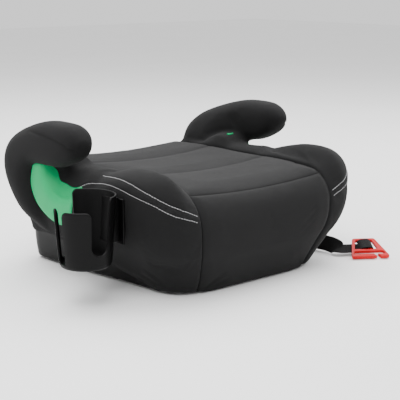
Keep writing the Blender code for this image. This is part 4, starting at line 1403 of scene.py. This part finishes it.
@dataclass
class StrapAndClip:
    """Webbing strap from the base to the belt clip, its sewn loop, and the clip."""

    front: tuple[float, float, float] = (218.0, -187.0, 3.2)
    turn: float = math.radians(-35.0)
    slope: float = math.radians(17.0)
    thick: float = 5.0
    web_middle: float = 35.0
    loop_bar: float = 5.0
    loop_radius: float = 4.35
    loop_start: float = -31.0
    web_width: float = 25.0
    web_thick: float = 1.5

    def place(self, u: np.ndarray, v: np.ndarray, w: np.ndarray) -> np.ndarray:
        """Points from clip coordinates: across it, up its slope and out of its face."""
        level = np.array([math.cos(self.turn), math.sin(self.turn), 0])
        rise = np.array([-math.sin(self.turn) * math.cos(self.slope),
                         math.cos(self.turn) * math.cos(self.slope), math.sin(self.slope)])
        face = np.cross(level, rise)
        u, v, w = np.broadcast_arrays(u, v, w)
        return np.array(self.front) + u[..., None] * level + v[..., None] * rise + w[..., None] * face

    def route(self) -> tuple[np.ndarray, np.ndarray]:
        """Route of the strap's middle up to the clip, and the direction of its width."""
        rise = self.place(0, 1, 0) - self.place(0, 0, 0)
        end = [(self.place(self.loop_start - back, self.web_middle, -self.loop_radius), rise)
               for back in (10.0, 5.0, 0.4)]
        stops = [((138.5, 118, 14), (0, 1, 0)), ((156, 118, 14.2), (0.05, 1, 0.05)),
                 ((167, 114, 14.6), (0.5, 0.5, 0.9)), ((174, 100, 14.2), (0, 0, 1)),
                 ((179, 75, 14), (0, 0, 1)), ((183, 45, 14), (0, 0, 1)), ((186, 10, 14), (0, 0, 1)),
                 ((189, -25, 14), (0, 0, 1)), ((193, -60, 14), (0, 0, 1)), ((198.5, -86, 14), (0, 0, 1)),
                 ((202, -106, 13.8), (0.1, 0.05, 1)), ((203.2, -118, 13), (0.25, 0.15, 0.9)),
                 ((203.6, -127, 11.4), (0.45, 0.45, 0.75)), *end]
        return np.array([p for p, _ in stops], float), unit(np.array([w for _, w in stops], float))

    def _web(self, place: np.ndarray, width: np.ndarray, spacing: float) -> tuple[np.ndarray, np.ndarray]:
        """Rings of webbing along a route.

        The section is a flat oval with woven edges: a squarish oval of the webbing's width
        and thickness, set across the route.

        Args:
            place: Points of the route.
            width: Direction of the webbing's width at each.
            spacing: Distance between rings.

        Returns:
            The rings and the middle line.
        """
        both = smooth_line(place, spacing)
        run = np.concatenate([[0], np.cumsum(np.linalg.norm(np.diff(place, axis=0), axis=1))])
        even = np.linspace(0, run[-1], len(both))
        wide = np.stack([through(list(zip(run, width[:, k])))(even) for k in range(3)], 1)
        ahead = unit(np.gradient(both, axis=0))
        wide = unit(wide - ahead * (wide * ahead).sum(1, keepdims=True))
        thick = np.cross(ahead, wide)
        t = np.arange(28) * 2 * math.pi / 28
        a = np.sign(np.cos(t)) * np.abs(np.cos(t)) ** 0.35 * self.web_width / 2
        b = np.sign(np.sin(t)) * np.abs(np.sin(t)) ** 0.35 * self.web_thick / 2
        rings = both[:, None] + wide[:, None] * a[None, :, None] + thick[:, None] * b[None, :, None]
        return rings, both

    def loop_route(self) -> tuple[np.ndarray, np.ndarray]:
        """Route of the sewn loop: under the clip's left bar, round its inner bar and back."""
        radius, bar = self.loop_radius, self.loop_bar
        bend = np.radians(np.linspace(-90, 90, 5))
        stops = [(self.loop_start, -radius), (-20, -radius), (-8, -radius)]
        stops += [(bar + radius * math.cos(t), radius * math.sin(t)) for t in bend]
        stops += [(-3, radius), (-7.5, 3.6), (-10.2, 1.6), (-11, -1.0)]
        u, w = np.array(stops).T
        place = self.place(u, np.full_like(u, self.web_middle), w)
        rise = self.place(0, 1, 0) - self.place(0, 0, 0)
        return place, np.broadcast_to(rise, place.shape)

    def strap(self) -> tuple[bpy.types.Object, np.ndarray]:
        """The strap itself, which twists between the seat and the clip, and its middle line."""
        rings, middle = self._web(*self.route(), 2.0)
        piece = make_piece("shoulder_strap", *loft_mesh(rings))
        piece.data.materials.append(WEBBING.material())
        lay_cloth_map(piece)
        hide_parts("guide_strap")
        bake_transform(piece)
        return piece, middle

    def loop(self) -> bpy.types.Object:
        """The sewn loop on the clip."""
        rings, _ = self._web(*self.loop_route(), 1.0)
        piece = make_piece("strap_end_loop", *loft_mesh(rings))
        return finish_piece(piece, WEBBING, "belt_clip", "strap_loop")

    @staticmethod
    def _rounded(points: Sequence[tuple[float, float, float]]) -> np.ndarray:
        """Outline with rounded corners.

        Each corner (u, v, radius) is replaced by a short quadratic curve between the points
        that lie the radius before and after it.
        """
        table = np.array(points, float)
        corner, radius = table[:, :2], table[:, 2:]
        before = unit(np.roll(corner, 1, 0) - corner)
        after = unit(np.roll(corner, -1, 0) - corner)
        t = np.linspace(0, 1, 6)[None, :, None]
        start = (corner + before * radius)[:, None]
        end = (corner + after * radius)[:, None]
        bend = (1 - t) ** 2 * start + 2 * t * (1 - t) * corner[:, None] + t**2 * end
        return bend.reshape(-1, 2)

    def clip(self) -> bpy.types.Object:
        """The clip: a flat outline with its windows, given thickness and a rounded edge."""
        outer = ((-30.5, 0, 5), (10, 0, 1.2), (6.5, 8, 1.2), (-25.5, 8, 3.5), (-23.5, 16, 3.5),
                 (23.5, 16, 3.5), (25.5, 8, 3.5), (12.5, 8, 1.2), (16, 0, 1.2), (30.5, 0, 5),
                 (17.5, 54, 4), (-18, 54, 4))
        bar = (self.loop_bar - 1.7, self.loop_bar + 1.7)
        left = ((-21, 22, 2), (bar[0], 22, 1), (bar[0], 48, 1), (-14, 48, 2))
        right = ((bar[1], 22, 1), (16, 22, 2), (12, 48, 2), (bar[1], 48, 1))
        bevel = 0.9
        flat = bpy.data.curves.new("clip_outline", "CURVE")
        flat.dimensions = "2D"
        flat.fill_mode = "BOTH"
        flat.extrude = self.thick / 2 - bevel
        flat.bevel_depth = bevel
        flat.bevel_resolution = 3
        flat.offset = -bevel
        for table in (outer, left, right):
            ring = self._rounded(table)
            spline = flat.splines.new("POLY")
            spline.points.add(len(ring) - 1)
            fourth = np.tile((0.0, 1.0), (len(ring), 1))
            spline.points.foreach_set("co", np.column_stack([ring, fourth]).ravel())
            spline.use_cyclic_u = True
        holder = bpy.data.objects.new("clip_outline", flat)
        mesh = bpy.data.meshes.new_from_object(holder)
        count = len(mesh.vertices)
        raw = np.empty(count * 3, np.float32)
        mesh.vertices.foreach_get("co", raw)
        u, v, w = raw.reshape(-1, 3).astype(float).T
        faces = [list(f.vertices) for f in mesh.polygons]
        bpy.data.objects.remove(holder)
        bpy.data.curves.remove(flat)
        bpy.data.meshes.remove(mesh)
        piece = make_piece("belt_clip_frame", self.place(u, v, w), faces, 40)
        return finish_piece(piece, RED, "belt_clip", "belt_clip")

    def build(self) -> None:
        strap, middle = self.strap()
        loop = self.loop()
        clip = self.clip()


# ---------------------------------------------------------------- carried-over nodes, studio


def dress_inner_nodes() -> None:
    """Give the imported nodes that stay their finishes."""
    plans = {"seat_shell": BLACK, "strap_anchor": STEEL}
    plans.update({f"shell_screw_{i}": STEEL for i in range(1, 5)})
    for name, finish in plans.items():
        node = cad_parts[name]
        for place in node.material_slots:
            place.material = finish.material()
        log.info("%s: %s", name, finish.slot)


@dataclass
class Studio:
    """Camera, pale floor and soft light."""

    eye: tuple[float, float, float] = (-1059.6, -1231.2, 438.5)
    ahead: tuple[float, float, float] = (0.6485, 0.7326, -0.207)
    lens: float = 98.05
    floor_half: float = 6000.0

    def camera(self) -> None:
        """The camera, at the height and distance of a table-top photographer."""
        data = bpy.data.cameras.new("camera")
        data.lens = self.lens
        data.sensor_width = 36.0
        made = bpy.data.objects.new("camera", data)
        bpy.context.scene.collection.objects.link(made)
        made.location = Vector(self.eye) * MM
        made.rotation_euler = Vector(self.ahead).to_track_quat("-Z", "Y").to_euler()
        bpy.context.scene.camera = made

    def floor(self) -> None:
        """Pale floor, slightly uneven in tone, just under the feet."""
        h = self.floor_half
        points = np.array([(-h, -h, -0.3), (h, -h, -0.3), (h, h, -0.3), (-h, h, -0.3)])
        piece = make_piece("studio_floor", points, [[0, 1, 2, 3]])
        made = bpy.data.materials.new("m_floor")
        made.use_nodes = True
        graph = Graph(made.node_tree)
        shader = made.node_tree.nodes["Principled BSDF"]
        shader.inputs["Roughness"].default_value = 0.75
        place = graph.add("TexCoord").outputs["Object"]
        noise = graph.add("TexNoise", {"Vector": place, "Scale": 3.0}).outputs[0]
        base = graph.mix(noise, (0.90, 0.90, 0.90, 1), (0.94, 0.94, 0.94, 1))
        graph.tree.links.new(base, shader.inputs["Base Color"])
        piece.data.materials.append(made)

    def lights(self) -> None:
        """Wide soft lights and a pale room."""
        plans = (
            ("key", (-1100, -700, 1700), 1200, 34.0),
            ("top", (200, 700, 1900), 2200, 72.0),
            ("right", (1700, -300, 1200), 1500, 16.0),
        )
        for name, place, size, power in plans:
            data = bpy.data.lights.new(name, "AREA")
            data.size = size * MM
            data.energy = power
            made = bpy.data.objects.new(name, data)
            bpy.context.scene.collection.objects.link(made)
            made.location = Vector(place) * MM
            made.rotation_euler = (-Vector(place)).to_track_quat("-Z", "Y").to_euler()
        world = bpy.data.worlds.new("room")
        world.use_nodes = True
        world.node_tree.nodes["Background"].inputs["Color"].default_value = (1, 1, 1, 1)
        world.node_tree.nodes["Background"].inputs["Strength"].default_value = 1.1
        bpy.context.scene.world = world

    def build(self) -> None:
        """Set up the studio."""
        self.camera()
        self.floor()
        self.lights()


def main() -> None:
    """Build the whole seat, in order."""
    logging.basicConfig(level=logging.INFO, format="%(message)s")
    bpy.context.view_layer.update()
    Studio().build()
    StrapAndClip().build()
    Base().build()
    CentrePanels().build()
    for side in Side:
        padding = SidePadding(side)
        cloth = padding.build()
        Topstitch().lay("topstitch_" + side.word, padding.stitch_lines(), cloth)
        BeltGuide(side).build()
        ArmCore(side).build()
    CupHolder().build()
    dress_inner_nodes()


if __name__ == "__main__":
    main()
